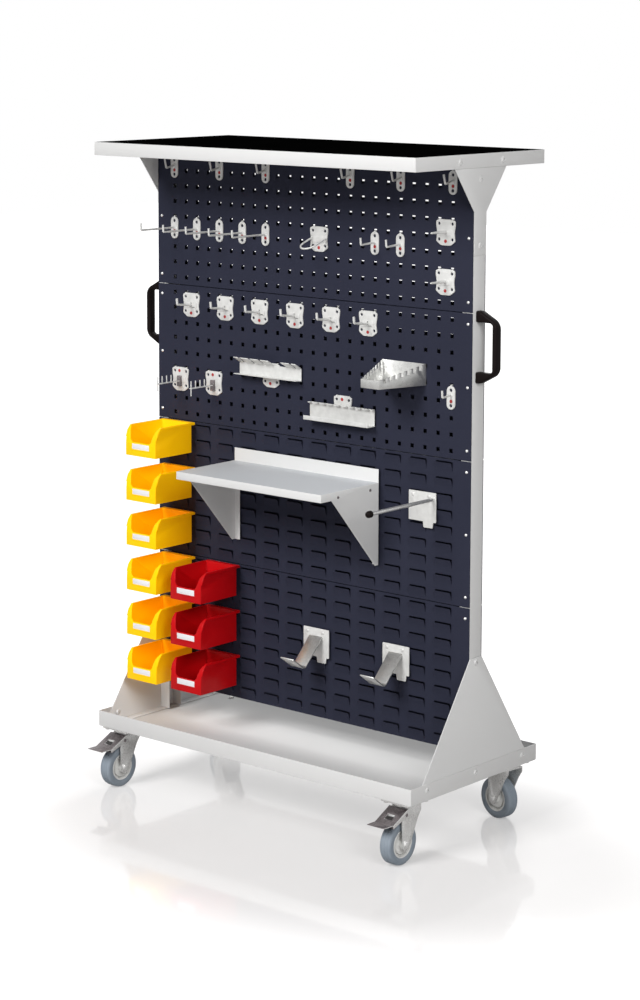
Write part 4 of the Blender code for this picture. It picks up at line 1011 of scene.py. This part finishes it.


# Floor: a wide pale studio floor, smooth enough to mirror the castors a little. A grey oval round the
# trolley is a painted soft shadow, where the floor's glow to the camera is lower; the glow rises to
# white further out.

FLOOR_HALF = 14
FLOOR = finish("pale_floor", ((0.56, 0.545, 0.54), (0.58, 0.565, 0.56)), gloss=(0.06, 0.085),
               grain=30, cloud=2, relief=0.0)
# The painted shadow: an oval set off the trolley's middle, inside which the floor glows less.
PAINTED_SHADOW_MIDDLE, PAINTED_SHADOW_SCALE = (0.22, -0.12, 0.0), (1.45, 2.3, 0.0)
FADE_FROM, FADE_TO, GLOW_IN_PAINTED_SHADOW, FAR_GLOW = 0.9, 2.0, 0.33, 0.84
pale = FLOOR.node_tree
shader = pale.nodes["Principled BSDF"]
shader.inputs["Emission Strength"].default_value = 1.0
place = pale.nodes.new("ShaderNodeTexCoord").outputs["Object"]
for operation, value in (("SUBTRACT", PAINTED_SHADOW_MIDDLE), ("MULTIPLY", PAINTED_SHADOW_SCALE)):
    moved = pale.nodes.new("ShaderNodeVectorMath")
    moved.operation = operation
    moved.inputs[1].default_value = value
    pale.links.new(place, moved.inputs[0])
    place = moved.outputs["Vector"]
away = pale.nodes.new("ShaderNodeVectorMath")
away.operation = "LENGTH"
fade = pale.nodes.new("ShaderNodeMapRange")
fade.interpolation_type = "SMOOTHSTEP"
for socket, value in zip(RANGE_SOCKETS, (FADE_FROM, FADE_TO, GLOW_IN_PAINTED_SHADOW, FAR_GLOW)):
    fade.inputs[socket].default_value = value
looked_at = pale.nodes.new("ShaderNodeLightPath")
glow = pale.nodes.new("ShaderNodeMath")
glow.operation = "MULTIPLY"
pale.links.new(place, away.inputs[0])
pale.links.new(away.outputs["Value"], fade.inputs["Value"])
pale.links.new(fade.outputs["Result"], glow.inputs[0])
pale.links.new(looked_at.outputs["Is Camera Ray"], glow.inputs[1])
pale.links.new(glow.outputs[0], shader.inputs["Emission Color"])
level = bmesh.new()
bmesh.ops.create_grid(level, x_segments=1, y_segments=1, size=FLOOR_HALF)
floor = shown("floor", FLOOR, level)


# Lights: a large soft box in front, a weaker one on the right and a small one behind for the rear
# of the tray, in a white room that lights little by itself.

def soft_light(name, at, aim, size, power, spread=math.pi):
    """A square soft box at a place, turned to a point, that the camera doesn't see."""
    light = bpy.data.lights.new(name, "AREA")
    light.size = size
    light.energy = power
    light.spread = spread
    made = bpy.data.objects.new(name, light)
    turn = (Vector(aim) - Vector(at)).to_track_quat("-Z", "Y").to_matrix().to_4x4()
    made.matrix_world = Matrix.Translation(at) @ turn
    made.visible_camera = False
    bpy.context.scene.collection.objects.link(made)


soft_light("front_box", (-1.1, -10.8, 8.3), (0, 0, 0.8), size=4.8, power=1380)
soft_light("right_box", (4.6, -2.4, 3.3), (0, 0, 0.8), size=2.2, power=150)
soft_light("rear_box", (-0.8, 1.9, 1.5), (-0.4, 0.1, 0.2), size=0.8, power=6, spread=math.radians(80))
WHITE = (1, 1, 1, 1)
ROOM_LIGHT, ROOM_IN_GLOSS, ROOM_SEEN = 0.17, 0.85, 1.0
world = bpy.data.worlds.new("studio")
world.use_nodes = True
tree = world.node_tree
seen = tree.nodes.new("ShaderNodeLightPath")
shade = tree.nodes["Background"]
shade.inputs["Color"].default_value = WHITE
shade.inputs["Strength"].default_value = ROOM_LIGHT
for ray, strength in (("Is Glossy Ray", ROOM_IN_GLOSS), ("Is Camera Ray", ROOM_SEEN)):
    bare = tree.nodes.new("ShaderNodeBackground")
    bare.inputs["Color"].default_value = WHITE
    bare.inputs["Strength"].default_value = strength
    either = tree.nodes.new("ShaderNodeMixShader")
    tree.links.new(seen.outputs[ray], either.inputs["Fac"])
    tree.links.new(shade.outputs[0], either.inputs[1])
    tree.links.new(bare.outputs[0], either.inputs[2])
    shade = either
tree.links.new(shade.outputs[0], tree.nodes["World Output"].inputs["Surface"])
bpy.context.scene.world = world
bpy.context.scene.view_settings.view_transform = "Standard"


# Camera: a long lens at the photograph's place, a little above the table top and to the right of
# the trolley, with its frame shifted as the photograph's framing needs.

EYE = (3.9080, mid_y - 4.5623, tray_high.z + 1.7366)
YAW, TILT, ROLL = math.radians(40.44), math.radians(6.72), math.radians(0.18)
LENS, SHIFT = 90.54, -0.19
lens = bpy.data.cameras.new("photograph")
lens.lens = LENS
lens.shift_y = SHIFT
camera = bpy.data.objects.new("photograph", lens)
camera.matrix_world = (Matrix.Translation(EYE) @ Matrix.Rotation(YAW, 4, "Z")
                       @ Matrix.Rotation(math.pi / 2 - TILT, 4, "X") @ Matrix.Rotation(ROLL, 4, "Z"))
bpy.context.scene.collection.objects.link(camera)
bpy.context.scene.camera = camera
